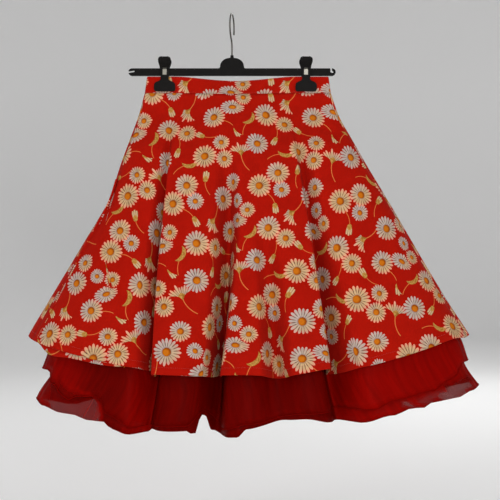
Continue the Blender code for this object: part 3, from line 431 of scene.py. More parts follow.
# Where a single layer of the organza lets the light through: the side of the petticoat, the middle of
# each patch, its half sizes, how it slants to the right and how thin it is (1 is a single layer). All have
# square corners and soft edges.
Patch = namedtuple("Patch", "face x z half_width half_height slant share")
THIN_PATCHES = (
    Patch("front", -0.329, -0.688, 0.016, 0.024, -0.10, 0.45),
    Patch("front", -0.340, -0.640, 0.018, 0.011, 0.00, 0.45),
    Patch("front", -0.281, -0.711, 0.050, 0.030, -0.32, 0.80),
    Patch("front", 0.402, -0.684, 0.031, 0.014, 0.40, 0.95),
    Patch("front", 0.340, -0.702, 0.030, 0.007, 0.36, 0.50),
    Patch("front", 0.305, -0.703, 0.008, 0.006, 0.20, 0.90),
    Patch("back", 0.405, -0.683, 0.056, 0.028, 0.25, 0.85),
    Patch("back", 0.250, -0.704, 0.034, 0.012, 0.10, 0.60),
    Patch("back", -0.292, -0.702, 0.042, 0.018, -0.16, 0.85),
    Patch("back", 0.120, -0.708, 0.026, 0.010, 0.10, 0.55),
    Patch("back", -0.080, -0.712, 0.022, 0.010, -0.10, 0.50),
)
PATCH_CORNERS = 5.0
PATCH_EDGE = 0.14

# One repeat of the print, in millimetres from its lower left corner: the middle of each flower or
# sprig, its reach, the angle that it is turned by and how narrow it is drawn. The daisies of the
# second table lie over those of the first, and the sprigs under both. Kind tells the flowers apart,
# and a sprig's kind is what grows on it.
REPEAT = (190.0, 230.0)
Motif = namedtuple("Motif", "x y reach turn narrow kind")
LOWER_DAISIES = (
    Motif(30, 40, 24.0, 20, 1.00, 1),
    Motif(72, 32, 17.0, 70, 1.00, 2),
    Motif(132, 24, 24.5, 35, 1.00, 3),
    Motif(112, 112, 24.5, 10, 1.00, 4),
    Motif(148, 134, 17.0, 55, 1.00, 5),
    Motif(28, 126, 23.0, 80, 1.00, 6),
    Motif(50, 188, 24.0, 15, 1.00, 7),
    Motif(140, 190, 22.5, 40, 1.00, 8),
)
UPPER_DAISIES = (
    Motif(65, 65, 23.0, 50, 1.00, 9),
    Motif(164, 51, 19.0, 5, 1.00, 10),
    Motif(150, 100, 19.0, 65, 1.00, 11),
    Motif(85, 170, 19.5, 30, 1.00, 12),
    Motif(177, 204, 24.0, 80, 0.62, 13),
    Motif(9, 222, 16.0, 48, 1.00, 14),
    Motif(176, 12, 15.5, 25, 0.90, 15),
)
BUD, LEAF, BLOSSOM = 0.0, 1.0, 2.0
SPRIGS = (
    Motif(101, 64, 28, 335, 1.00, BUD),
    Motif(98, 222, 34, 125, 1.00, BLOSSOM),
    Motif(178, 160, 28, 200, 1.00, BUD),
    Motif(116, 154, 26, 50, 1.00, BUD),
    Motif(72, 102, 28, 262, 1.00, LEAF),
    Motif(185, 101, 34, 0, 1.00, BLOSSOM),
    Motif(12, 170, 28, 310, 1.00, LEAF),
    Motif(60, 4, 27, 190, 1.00, BUD),
    Motif(66, 138, 26, 150, 1.00, BUD),
)
PETALS = 19
FAN_PETALS = 30

# How a flower is drawn, in shares of its reach, and across a petal in shares of the space it takes. A ramp
# is named by its sockets in a Map Range node: it starts at 1 and ends at 2, where it gives 3 and 4.
PETALS_JOINED = 0.66
PETAL_HALF_WIDTH = 0.46
PETAL_END = {1: 0.60, 2: 1.0}
PETAL_EDGE = {1: 0.22, 2: 0.42}
PETAL_SHADE = {3: 0.86, 4: 1.06}
PETAL_BASE = {1: 0.40, 2: 0.28, 3: 0.0, 4: 0.5}
PINK_TIP = {1: 0.72, 2: 0.96, 3: 0.0, 4: 0.9}
COOL_SIDE = 0.22
COOL_PRINT = {1: 0.45, 2: 0.90, 3: 0.0, 4: 0.85}
DASH_PLACE = {3: 0.46, 4: 0.72}
DASH_LENGTH = {1: 0.20, 2: 0.08, 3: 0.12, 4: 1.0}
DASH_STRENGTH = {3: 0.50, 4: 1.0}
DAISY_UNEVEN = 0.10
CENTRE_SIZE = 0.350
CENTRE_ROUGH = 0.10
CENTRE_GRAIN = 9.0
CENTRE_LEAN = 0.35
CENTRE_RIM = {1: 0.18, 2: 0.36}

# How a sprig is drawn, in shares of its reach: a stem that is part of a circle, a fan of petals on a wedge,
# and buds, calyxes and leaves made of ellipses
STEM_CENTRE = (1.3, 0.1, 0.0)
STEM_BEND = 1.3
STEM_HALF_WIDTH = 0.024
STEM_TOP = 0.10
FAN_APEX = (0.0, -0.02, 0.0)
FAN_SEED = 5.0
FAN_REACH = 0.88
FAN_UNEVEN = 0.22
FAN_MOUTH = {1: 0.22, 2: 0.80, 3: 0.55, 4: 1.16}
WEDGE_REACH = {1: 0.0, 2: 0.7, 3: 0.40, 4: 0.30}
Ellipse = namedtuple("Ellipse", "x y half_width half_height turn")
BUD_PETALS = (
    Ellipse(0.000, 0.36, 0.105, 0.36, 0.00),
    Ellipse(-0.095, 0.34, 0.110, 0.31, 0.20),
    Ellipse(0.095, 0.34, 0.110, 0.31, -0.20),
)
CALYX = Ellipse(0.0, 0.14, 0.17, 0.21, 0.0)
LEAF_ROUND = Ellipse(-0.22, 0.30, 0.40, 0.52, 0.0)
LEAF_HOLLOW = Ellipse(-0.55, 0.24, 0.46, 0.62, 0.0)
BUD_SEAMS = 46.0
BUD_SEAM = {1: -0.5, 2: -1.0, 3: 0.0, 4: 0.75}
LEAF_GRAIN = 7.0
LEAF_STREAK = {1: 0.4, 2: 0.65}
OUTSIDE = (9.0, 9.0, 0.0)
PLAN = (1.0, 1.0, 0.0)
ANY_HEIGHT = 1e6

# The cloth's own patterns, in millimetres: the mottle of the cotton's dye and how it varies the red, the
# cotton's puckers, deeper than its weave, and its threads, and the organza's crushed folds, drawn out down
# the cloth. Most of a noise lies within its span.
MOTTLE_MM = 30.0
MOTTLED_RED = {3: 0.93, 4: 1.05}
PUCKER_MM = 14.0
PUCKER_DEPTH = 9.0
THREAD_MM = 0.8
# The organza's crushed folds also carry painted shade and highlight in its red
CRUSH_MM = 9.0
CRUSH_STRETCH = (1.0, 0.10, 1.0)
NOISE_SPAN = {1: 0.3, 2: 0.7}

# The other finishes: the colour that each takes, the size of its grain in millimetres, how much the colour
# varies with it, how deep it is in metres, how it is drawn out and the shader's plain values. All vary as
# much in roughness.
EVEN = (1.0, 1.0, 1.0)
ROUGHNESS_SPREAD = 0.06
Grained = namedtuple("Grained", "name colour grain_mm spread depth stretch values")
GRAINED = (
    # Injection-moulded polystyrene: near black, with a fine spark-eroded grain and dulled gloss
    Grained("moulded_polystyrene", "plastic", 0.7, 0.25, 0.00005, EVEN,
            {"Roughness": 0.55, "Specular IOR Level": 0.08}),
    # Drawn steel wire, plated: fine lines run along it and it mirrors the studio softly
    Grained("plated_steel_wire", "wire", 0.6, 0.12, 0.00002, (1.0, 1.0, 0.15),
            {"Roughness": 0.38, "Metallic": 1.0}),
    # Rolled spring steel strip, brighter and smoother than the wire
    Grained("spring_steel", "steel", 0.5, 0.08, 0.00001, (0.2, 1.0, 1.0),
            {"Roughness": 0.36, "Metallic": 1.0}),
    # Spun polyester thread: dull red, with the twist of its plies as grain
    Grained("polyester_thread", "thread", 0.5, 0.2, 0.00005, EVEN,
            {"Roughness": 0.7, "Sheen Weight": 0.2}),
    # Lacquer baked on the zip's die-cast slider and pull
    Grained("lacquered_zinc", "zip", 1.5, 0.05, 0.00001, EVEN,
            {"Roughness": 0.4, "Specular IOR Level": 0.10}),
    # Cast polyester resin button, polished in a tumbler
    Grained("polished_resin", "button", 3.0, 0.10, 0.00001, EVEN,
            {"Roughness": 0.3, "Specular IOR Level": 0.16}),
)

# How much one surface of the organza hides, and how much red it sends back, where it is single and where it
# lies in layers, how far its red turns darker with the layers (partly the red of layered cloth, partly
# painted shade), and how its crushed folds vary its red as painted shade and highlight
ORGANZA_COVER = {3: 0.75, 4: 0.985}
ORGANZA_RED = {3: 0.66, 4: 1.0}
ORGANZA_LAYERS_AND_SHADE = {1: 1.0, 2: 2.0}
# Painted shade and highlight along the crushed folds
CRUSH_SHADE_AND_HIGHLIGHT = {3: 0.84, 4: 1.14}

# How the cloth is laid flat for its print and how finely, rounded edges, and points that are one
CLOTH_UV = "cloth"
BUNCHED_AND_SHADED = "bunched"
FLAT_ROWS = 26
FLAT_COLUMNS = 80
SHARP_ANGLE = math.radians(50.0)
ROUNDED = {"segments": 3, "limit_method": "ANGLE", "angle_limit": SHARP_ANGLE}
MERGED = 0.00001
ORIGIN = (0.0, 0.0, 0.0)

# The studio: a pale round floor that curves up into a wall, and lamps aimed at the skirt's middle
COVE_SIDES = 96
COVE_RADIUS = 3.2
COVE_CURVE = 1.5
COVE_FLOOR_Z = -1.05
COVE_WALL = 2.6
COVE_STEP_DEGREES = 10
COVE_PAINT = (0.92, 0.92, 0.92, 1.0)
AIR_COLOUR = (1.0, 0.99, 0.98, 1.0)
AIR_STRENGTH = 0.30
Lamp = namedtuple("Lamp", "name place size power")
LAMPS = (
    Lamp("front_light", (0.3, -2.9, -0.2), 1.0, 32.0),
    Lamp("left_light", (-1.55, -2.0, 1.15), 0.8, 12.0),
    Lamp("low_left_light", (-1.9, -1.6, -0.3), 1.0, 4.5),
    Lamp("right_light", (1.9, -1.7, 0.5), 1.2, 7.0),
    Lamp("back_light", (1.2, 2.6, 0.9), 1.8, 36.0),
    Lamp("back_left_light", (-2.4, 1.6, 0.4), 1.6, 12.0),
)
LAMP_AIM = (0.0, 0.0, -0.42)

# The camera stands level in front of the skirt, with a lens in millimetres and the photograph's framing
CAMERA_PLACE = (0.0, -2.0, -0.400)
CAMERA_SENSOR = 36.0
CAMERA_LENS = 77.67
CAMERA_SHIFT = (0.036, -0.039)

MATH = "ShaderNodeMath"
VECTOR = "ShaderNodeVectorMath"
RANGE = "ShaderNodeMapRange"
MIX = "ShaderNodeMix"
NOISE = "ShaderNodeTexNoise"
# Sockets of a Mix node, which share their names: the factor, two vectors and two colours
FACTOR, A_VECTOR, B_VECTOR, A_COLOUR, B_COLOUR = 0, 4, 5, 6, 7
VECTOR_OUT, COLOUR_OUT = 1, 2


def linear(hex_colour):
    """The linear red, green and blue of an sRGB hex colour."""
    parts = [int(hex_colour[index:index + 2], 16) / 255.0 for index in (1, 3, 5)]
    return [part / 12.92 if part <= 0.04045 else ((part + 0.055) / 1.055) ** 2.4 for part in parts]


class SkirtSizes(bpy.types.PropertyGroup):
    """Sizes of the cloth, its hems and its sewing."""

    steps: IntProperty(
        name="Columns per fold", description="How finely each fold is drawn", default=56, min=12
    )
    rows: IntProperty(
        name="Rows", description="Rows from the waist to the hem", default=84, min=20
    )
    cotton_wall: FloatProperty(
        name="Cotton", description="Thickness of the printed cotton", default=0.0006, unit="LENGTH",
        precision=4,
    )
    organza_wall: FloatProperty(
        name="Organza", description="Thickness of the organza", default=0.0003, unit="LENGTH", precision=4
    )
    hem_turn: FloatProperty(
        name="Hem", description="Depth of the turned-up hem", default=0.012, unit="LENGTH", precision=4
    )
    seam_allowance: FloatProperty(
        name="Seam allowance", description="Cloth turned in at a seam", default=0.006, unit="LENGTH",
        precision=4,
    )
    stitch: FloatProperty(
        name="Stitch", description="Length of a stitch", default=0.0026, unit="LENGTH", precision=4
    )
    thread: FloatProperty(
        name="Thread", description="Diameter of the sewing thread", default=0.0004, unit="LENGTH",
        precision=5,
    )
    rolled_hem: FloatProperty(
        name="Rolled hem", description="Diameter of the organza's rolled hem", default=0.0012,
        unit="LENGTH", precision=4,
    )


def colour_property(name, description, hex_colour):
    """A colour that a user may change, from its sRGB hex value."""
    return FloatVectorProperty(
        name=name, description=description, default=linear(hex_colour), subtype="COLOR", size=3, min=0.0,
        max=1.0,
    )


class SkirtColours(bpy.types.PropertyGroup):
    """Colours of the print, the organza and the hanger."""

    ground: colour_property("Ground", "Red ground of the print", "#A31206")
    petal: colour_property("Petal", "Cream of the petals", "#C8A57C")
    petal_tip: colour_property("Petal tip", "Pink of the petal tips", "#E48C74")
    petal_cool: colour_property("Cool petal", "Grey cream of the cooler flowers", "#B6A6A0")
    petal_line: colour_property("Petal line", "Lines between the petals", "#4C2C20")
    centre: colour_property("Flower centre", "Orange of the flower centres", "#C26A14")
    centre_rim: colour_property("Centre rim", "Brown rim of the flower centres", "#8A400C")
    leaf: colour_property("Leaf", "Ochre of the leaves and calyxes", "#BC8C48")
    leaf_dark: colour_property("Leaf shade", "Darker ochre of the leaves and calyxes", "#8E6024")
    stem: colour_property("Stem", "Orange of the stems", "#CC6A36")
    organza: colour_property("Organza", "Red of the petticoat", "#820401")
    # The darker red of gathered organza, partly that of its layers and partly painted shade
    organza_layered_and_shaded: colour_property("Gathered organza", "Red of the gathered petticoat", "#600200")
    plastic: colour_property("Plastic", "Black of the hanger", "#0E0C0B")
    wire: colour_property("Wire", "Grey of the hook", "#55524E")
    steel: colour_property("Spring steel", "Grey of the springs", "#77746C")
    thread: colour_property("Thread", "Red of the sewing thread", "#96160A")
    zip: colour_property("Zip", "Red of the zip's slider and pull", "#A01206")
    button: colour_property("Button", "Red of the waistband button", "#A81206")


def add_node(tree, kind, inputs=None, **settings):
    """Add a node with its settings and inputs, each a socket to link or a value, and give its outputs."""
    node = tree.nodes.new(kind)
    for name, value in settings.items():
        setattr(node, name, value)
    for name, value in (inputs or {}).items():
        if isinstance(value, bpy.types.NodeSocket):
            tree.links.new(value, node.inputs[name])
        else:
            node.inputs[name].default_value = value
    return node.outputs


def new_material(name, values):
    """A node material with a Principled shader, whose plain values are set on its own sockets."""
    material = bpy.data.materials.new(name)
    material.use_nodes = True
    shader = material.node_tree.nodes["Principled BSDF"]
    for socket, value in values.items():
        shader.inputs[socket].default_value = value
    return material, material.node_tree, shader


def with_alpha(colour):
    """A colour with full opacity."""
    return (*colour, 1.0)


def place_motifs(tree, point, motifs):
    """The coordinates of the motif that covers a point, 1 at its reach, with its kind in Z."""
    local = OUTSIDE
    half = (REPEAT[0] / 2.0, REPEAT[1] / 2.0, 1.0)
    low = tuple(-side for side in half)
    for motif in motifs:
        centre = (motif.x, motif.y, 0.0)
        away = add_node(tree, VECTOR, {0: point, 1: centre}, operation="SUBTRACT")[0]
        near = add_node(tree, VECTOR, {0: away, 1: half, 2: low}, operation="WRAP")[0]
        distance = add_node(tree, VECTOR, {0: near}, operation="LENGTH")[1]
        covered = add_node(tree, MATH, {0: distance, 1: motif.reach}, operation="LESS_THAN")[0]
        placed = {
            "Vector": near,
            "Location": (0.0, 0.0, -motif.kind),
            "Rotation": (0.0, 0.0, math.radians(motif.turn)),
            "Scale": (motif.reach * motif.narrow, motif.reach, 1.0),
        }
        own = add_node(tree, "ShaderNodeMapping", placed, vector_type="TEXTURE")[0]
        mixed = {FACTOR: covered, A_VECTOR: local, B_VECTOR: own}
        local = add_node(tree, MIX, mixed, data_type="VECTOR")[VECTOR_OUT]
    return local


def draw_petals(tree, radius, angle, seed, petals, reach, uneven, colours):
    """Petals round a middle: how far they cover a point, and their colour there."""
    share = add_node(tree, MATH, {0: angle, 1: petals / math.tau}, operation="MULTIPLY")[0]
    number = add_node(tree, MATH, {0: share}, operation="ROUND")[0]
    aside = add_node(tree, MATH, {0: share, 1: number}, operation="SUBTRACT")[0]
    aside = add_node(tree, MATH, {0: aside}, operation="ABSOLUTE")[0]
    number = add_node(tree, MATH, {0: number, 1: petals}, operation="FLOORED_MODULO")[0]
    petal = add_node(tree, "ShaderNodeCombineXYZ", {0: number, 1: seed})[0]
    drawn = add_node(tree, "ShaderNodeTexWhiteNoise", {"Vector": petal}, noise_dimensions="2D")
    own = add_node(tree, "ShaderNodeSeparateColor", {0: drawn[1]})
    length = {0: drawn[0], 1: uneven * reach, 2: (1.0 - uneven) * reach}
    length = add_node(tree, MATH, length, operation="MULTIPLY_ADD")[0]
    along = add_node(tree, MATH, {0: radius, 1: length}, operation="DIVIDE")[0]
    # The petals lie side by side for two thirds of their length, then part and end in a narrow round each
    tip = add_node(tree, RANGE, {0: along, **PETAL_END})[0]
    round_end = add_node(tree, MATH, {0: tip, 1: tip}, operation="MULTIPLY")[0]
    round_end = add_node(tree, MATH, {0: 1.0, 1: round_end}, operation="SUBTRACT")[0]
    round_end = add_node(tree, MATH, {0: round_end}, operation="SQRT")[0]
    width = add_node(tree, MATH, {0: round_end, 1: PETAL_HALF_WIDTH}, operation="MULTIPLY")[0]
    within = add_node(tree, MATH, {0: along, 1: PETALS_JOINED}, operation="LESS_THAN")[0]
    width = add_node(tree, MATH, {0: width, 1: within}, operation="MAXIMUM")[0]
    cover = add_node(tree, MATH, {0: aside, 1: width}, operation="LESS_THAN")[0]
    # A short dark dash lies between most petals, each at its own distance and strength
    edge = add_node(tree, RANGE, {0: aside, **PETAL_EDGE})[0]
    middle = add_node(tree, RANGE, {0: own[1], **DASH_PLACE})[0]
    away = add_node(tree, MATH, {0: along, 1: middle}, operation="SUBTRACT")[0]
    away = add_node(tree, MATH, {0: away}, operation="ABSOLUTE")[0]
    dash = add_node(tree, RANGE, {0: away, **DASH_LENGTH})[0]
    line = add_node(tree, MATH, {0: edge, 1: dash}, operation="MULTIPLY")[0]
    strength = add_node(tree, RANGE, {0: own[2], **DASH_STRENGTH})[0]
    line = add_node(tree, MATH, {0: line, 1: strength}, operation="MULTIPLY")[0]
    pink = add_node(tree, RANGE, {0: along, **PINK_TIP})[0]
    cream = {FACTOR: pink, A_COLOUR: with_alpha(colours.petal), B_COLOUR: with_alpha(colours.petal_tip)}
    colour = add_node(tree, MIX, cream, data_type="RGBA")[COLOUR_OUT]
    # Some flowers are printed cooler than the rest, most of all on one side
    flower = add_node(tree, "ShaderNodeTexWhiteNoise", {"W": seed}, noise_dimensions="1D")[0]
    side = add_node(tree, MATH, {0: angle}, operation="SINE")[0]
    flower = add_node(tree, MATH, {0: side, 1: COOL_SIDE, 2: flower}, operation="MULTIPLY_ADD")[0]
    cool = add_node(tree, RANGE, {0: flower, **COOL_PRINT})[0]
    tinted = {FACTOR: cool, A_COLOUR: colour, B_COLOUR: with_alpha(colours.petal_cool)}
    colour = add_node(tree, MIX, tinted, data_type="RGBA")[COLOUR_OUT]
    lined = {FACTOR: line, A_COLOUR: colour, B_COLOUR: with_alpha(colours.petal_line)}
    colour = add_node(tree, MIX, lined, data_type="RGBA")[COLOUR_OUT]
    shade = add_node(tree, RANGE, {0: own[0], **PETAL_SHADE})[0]
    colour = add_node(tree, VECTOR, {0: colour, "Scale": shade}, operation="SCALE")[0]
    return cover, colour


def draw_daisies(tree, local, colours, under):
    """Whole daisies over the colour that lies under them."""
    flat = add_node(tree, VECTOR, {0: local, 1: PLAN}, operation="MULTIPLY")[0]
    radius = add_node(tree, VECTOR, {0: flat}, operation="LENGTH")[1]
    axes = add_node(tree, "ShaderNodeSeparateXYZ", {0: local})
    angle = add_node(tree, MATH, {0: axes[1], 1: axes[0]}, operation="ARCTAN2")[0]
    cover, colour = draw_petals(tree, radius, angle, axes[2], PETALS, 1.0, DAISY_UNEVEN, colours)
    base = add_node(tree, RANGE, {0: radius, **PETAL_BASE})[0]
    tinted = {FACTOR: base, A_COLOUR: colour, B_COLOUR: with_alpha(colours.petal_line)}
    colour = add_node(tree, MIX, tinted, data_type="RGBA")[COLOUR_OUT]
    # The centre is a disc of fine florets, darker round its rim and below
    grain = add_node(tree, NOISE, {"Vector": local, "Scale": CENTRE_GRAIN, "Detail": 1.0})[0]
    rough = add_node(tree, MATH, {0: grain, 1: CENTRE_ROUGH, 2: radius}, operation="MULTIPLY_ADD")[0]
    disc = add_node(tree, MATH, {0: rough, 1: CENTRE_SIZE}, operation="LESS_THAN")[0]
    lower = add_node(tree, MATH, {0: axes[0], 1: CENTRE_LEAN, 2: rough}, operation="MULTIPLY_ADD")[0]
    rim = add_node(tree, RANGE, {0: lower, **CENTRE_RIM})[0]
    orange = {FACTOR: rim, A_COLOUR: with_alpha(colours.centre), B_COLOUR: with_alpha(colours.centre_rim)}
    middle = add_node(tree, MIX, orange, data_type="RGBA")[COLOUR_OUT]
    whole = {FACTOR: disc, A_COLOUR: colour, B_COLOUR: middle}
    colour = add_node(tree, MIX, whole, data_type="RGBA")[COLOUR_OUT]
    laid = {FACTOR: cover, A_COLOUR: under, B_COLOUR: colour}
    return add_node(tree, MIX, laid, data_type="RGBA")[COLOUR_OUT]


def draw_ellipse(tree, local, ellipse):
    """1 inside an ellipse of a sprig, and 0 outside it."""
    placed = {
        "Vector": local,
        "Location": (ellipse.x, ellipse.y, 0.0),
        "Rotation": (0.0, 0.0, ellipse.turn),
        "Scale": (ellipse.half_width, ellipse.half_height, ANY_HEIGHT),
    }
    own = add_node(tree, "ShaderNodeMapping", placed, vector_type="TEXTURE")[0]
    distance = add_node(tree, VECTOR, {0: own}, operation="LENGTH")[1]
    return add_node(tree, MATH, {0: distance, 1: 1.0}, operation="LESS_THAN")[0]


def draw_stem(tree, local, axes, colours, under):
    """A thin stem, part of a circle to the right of the sprig, over the colour that lies under it."""
    away = add_node(tree, VECTOR, {0: local, 1: STEM_CENTRE}, operation="SUBTRACT")[0]
    away = add_node(tree, VECTOR, {0: away, 1: PLAN}, operation="MULTIPLY")[0]
    bend = add_node(tree, VECTOR, {0: away}, operation="LENGTH")[1]
    stem = add_node(tree, MATH, {0: bend, 1: STEM_BEND, 2: STEM_HALF_WIDTH}, operation="COMPARE")[0]
    below = add_node(tree, MATH, {0: axes[1], 1: STEM_TOP}, operation="LESS_THAN")[0]
    stem = add_node(tree, MATH, {0: stem, 1: below}, operation="MULTIPLY")[0]
    laid = {FACTOR: stem, A_COLOUR: under, B_COLOUR: with_alpha(colours.stem)}
    return add_node(tree, MIX, laid, data_type="RGBA")[COLOUR_OUT]


def draw_fan(tree, local, colours):
    """A side blossom: petals that open like a trumpet from an ochre wedge, and how much each covers."""
    apex = add_node(tree, VECTOR, {0: local, 1: FAN_APEX}, operation="SUBTRACT")[0]
    axes = add_node(tree, "ShaderNodeSeparateXYZ", {0: apex})
    angle = add_node(tree, MATH, {0: axes[0], 1: axes[1]}, operation="ARCTAN2")[0]
    flat = add_node(tree, VECTOR, {0: apex, 1: PLAN}, operation="MULTIPLY")[0]
    radius = add_node(tree, VECTOR, {0: flat}, operation="LENGTH")[1]
    cover, colour = draw_petals(tree, radius, angle, FAN_SEED, FAN_PETALS, FAN_REACH, FAN_UNEVEN, colours)
    opened = add_node(tree, MATH, {0: angle}, operation="ABSOLUTE")[0]
    mouth = add_node(tree, RANGE, {0: radius, **FAN_MOUTH})[0]
    spread = add_node(tree, MATH, {0: opened, 1: mouth}, operation="LESS_THAN")[0]
    cover = add_node(tree, MATH, {0: cover, 1: spread}, operation="MULTIPLY")[0]
    # The wedge is longest in the middle, and its two edges run on along the outer petals
    reach = add_node(tree, RANGE, {0: opened, **WEDGE_REACH})[0]
    near = add_node(tree, MATH, {0: radius, 1: reach}, operation="LESS_THAN")[0]
    wedge = add_node(tree, MATH, {0: near, 1: spread}, operation="MULTIPLY")[0]
    return cover, colour, wedge


def draw_bud(tree, local, axes, colours):
    """A closed bud of three petals that part at their tips, with a line or two between them."""
    bud = draw_ellipse(tree, local, BUD_PETALS[0])
    for petal in BUD_PETALS[1:]:
        bud = add_node(tree, MATH, {0: bud, 1: draw_ellipse(tree, local, petal)}, operation="MAXIMUM")[0]
    seams = add_node(tree, MATH, {0: axes[0], 1: BUD_SEAMS}, operation="MULTIPLY")[0]
    seams = add_node(tree, MATH, {0: seams}, operation="COSINE")[0]
    seams = add_node(tree, RANGE, {0: seams, **BUD_SEAM})[0]
    cream = {FACTOR: seams, A_COLOUR: with_alpha(colours.petal), B_COLOUR: with_alpha(colours.petal_line)}
    return bud, add_node(tree, MIX, cream, data_type="RGBA")[COLOUR_OUT]


def draw_sprigs(tree, local, colours, under):
    """Buds, leaves and side blossoms on their curved stems, over the colour that lies under them."""
    axes = add_node(tree, "ShaderNodeSeparateXYZ", {0: local})
    kinds = []
    for kind in (BUD, LEAF, BLOSSOM):
        kinds.append(add_node(tree, MATH, {0: axes[2], 1: kind, 2: 0.5}, operation="COMPARE")[0])
    colour = draw_stem(tree, local, axes, colours, under)
    fan, petals, wedge = draw_fan(tree, local, colours)
    bud, closed = draw_bud(tree, local, axes, colours)
    cup = draw_ellipse(tree, local, CALYX)
    # A leaf is what is left of one ellipse outside another, so that it ends in two bent points
    leaf = draw_ellipse(tree, local, LEAF_ROUND)
    hollow = draw_ellipse(tree, local, LEAF_HOLLOW)
    solid = add_node(tree, MATH, {0: 1.0, 1: hollow}, operation="SUBTRACT")[0]
    leaf = add_node(tree, MATH, {0: leaf, 1: solid}, operation="MULTIPLY")[0]
    streak = add_node(tree, NOISE, {"Vector": local, "Scale": LEAF_GRAIN, "Detail": 2.0})[0]
    streaked = add_node(tree, RANGE, {0: streak, **LEAF_STREAK})[0]
    shaded = {FACTOR: streaked, A_COLOUR: with_alpha(colours.leaf), B_COLOUR: with_alpha(colours.leaf_dark)}
    ochre = add_node(tree, MIX, shaded, data_type="RGBA")[COLOUR_OUT]
    drawn = (
        (fan, kinds[2], petals),
        (wedge, kinds[2], ochre),
        (bud, kinds[0], closed),
        (cup, kinds[0], ochre),
        (leaf, kinds[1], ochre),
    )
    for cover, kind, own in drawn:
        shown = add_node(tree, MATH, {0: cover, 1: kind}, operation="MULTIPLY")[0]
        laid = {FACTOR: shown, A_COLOUR: colour, B_COLOUR: own}
        colour = add_node(tree, MIX, laid, data_type="RGBA")[COLOUR_OUT]
    return colour


def printed_cotton(colours):
    """Printed plain-weave cotton: matt, with a faint nap, slubs in the thread and a soft handle."""
    values = {
        "Roughness": 0.9,
        "Sheen Weight": 0.02,
        "Sheen Roughness": 0.6,
        "Sheen Tint": (1.0, 0.35, 0.25, 1.0),
        "Specular IOR Level": 0.03,
    }
    material, tree, shader = new_material("printed_cotton", values)
    metres = add_node(tree, "ShaderNodeUVMap", uv_map=CLOTH_UV)[0]
    point = add_node(tree, VECTOR, {0: metres, "Scale": 1000.0}, operation="SCALE")[0]
    # The dye takes unevenly, over a few centimetres
    mottle = add_node(tree, NOISE, {"Vector": point, "Scale": 1.0 / MOTTLE_MM, "Detail": 3.0})[0]
    depth = add_node(tree, RANGE, {0: mottle, **NOISE_SPAN, **MOTTLED_RED})[0]
    ground = add_node(tree, VECTOR, {0: tuple(colours.ground), "Scale": depth}, operation="SCALE")[0]
    colour = draw_sprigs(tree, place_motifs(tree, point, SPRIGS), colours, ground)
    colour = draw_daisies(tree, place_motifs(tree, point, LOWER_DAISIES), colours, colour)
    colour = draw_daisies(tree, place_motifs(tree, point, UPPER_DAISIES), colours, colour)
    tree.links.new(colour, shader.inputs["Base Color"])
    # Threads lie about 0.4 mm apart, drawn at 0.8 mm so that they still show from close by
    axes = add_node(tree, "ShaderNodeSeparateXYZ", {0: point})
    threads = []
    for axis in axes[:2]:
        turned = add_node(tree, MATH, {0: axis, 1: math.tau / THREAD_MM}, operation="MULTIPLY")[0]
        threads.append(add_node(tree, MATH, {0: turned}, operation="SINE")[0])
    weave = add_node(tree, MATH, {0: threads[0], 1: threads[1]}, operation="MULTIPLY")[0]
    # Soft puckers that the hand would feel, deeper than the weave
    pucker = add_node(tree, NOISE, {"Vector": point, "Scale": 1.0 / PUCKER_MM, "Detail": 2.0})[0]
    height = add_node(tree, MATH, {0: pucker, 1: PUCKER_DEPTH, 2: weave}, operation="MULTIPLY_ADD")[0]
    bump = {"Height": height, "Strength": 0.5, "Distance": 0.00006}
    tree.links.new(add_node(tree, "ShaderNodeBump", bump)[0], shader.inputs["Normal"])
    return material


def sheer_organza(colours):
    """Nylon organza: crisp and sheer, so that layers add up to a deep red and folds catch the light. Its
    gathered places are painted darker, partly as painted shade, and its crushed folds carry painted shade
    and highlight in their red.
    """
    values = {
        "Roughness": 0.5,
        "Sheen Weight": 0.01,
        "Sheen Roughness": 0.4,
        "Sheen Tint": (1.0, 0.12, 0.08, 1.0),
        "Specular IOR Level": 0.012,
    }
    material, tree, shader = new_material("nylon_organza", values)
    metres = add_node(tree, "ShaderNodeUVMap", uv_map=CLOTH_UV)[0]
    # Crushed folds run down the cloth, about a centimetre apart, as bumps and as painted shade and highlight
    # in its red
    drawn = add_node(tree, "ShaderNodeMapping", {"Vector": metres, "Scale": CRUSH_STRETCH})[0]
    streaks = add_node(tree, NOISE, {"Vector": drawn, "Scale": 1000.0 / CRUSH_MM, "Detail": 2.0})[0]
    tint = add_node(tree, RANGE, {0: streaks, **NOISE_SPAN, **CRUSH_SHADE_AND_HIGHLIGHT})[0]
    # Where gathers bunch up, two or more layers lie on each other and hide what is behind them, and the red
    # is
    # painted deeper there: partly the deeper red of the layers, partly painted shade
    bunched = add_node(tree, "ShaderNodeAttribute", attribute_name=BUNCHED_AND_SHADED)["Fac"]
    layers = add_node(tree, RANGE, {0: bunched, **ORGANZA_LAYERS_AND_SHADE})[0]
    deep = with_alpha(colours.organza_layered_and_shaded)
    dyed = {FACTOR: layers, A_COLOUR: with_alpha(colours.organza), B_COLOUR: deep}
    colour = add_node(tree, MIX, dyed, data_type="RGBA")[COLOUR_OUT]
    # A single layer sends less red back to the eye
    single = add_node(tree, RANGE, {0: bunched, **ORGANZA_RED})[0]
    tint = add_node(tree, MATH, {0: tint, 1: single}, operation="MULTIPLY")[0]
    dye = add_node(tree, VECTOR, {0: colour, "Scale": tint}, operation="SCALE")[0]
    tree.links.new(dye, shader.inputs["Base Color"])
    cover = add_node(tree, RANGE, {0: bunched, **ORGANZA_COVER})[0]
    tree.links.new(cover, shader.inputs["Alpha"])
    bump = {"Height": streaks, "Strength": 0.35, "Distance": 0.0010}
    tree.links.new(add_node(tree, "ShaderNodeBump", bump)[0], shader.inputs["Normal"])
    return material


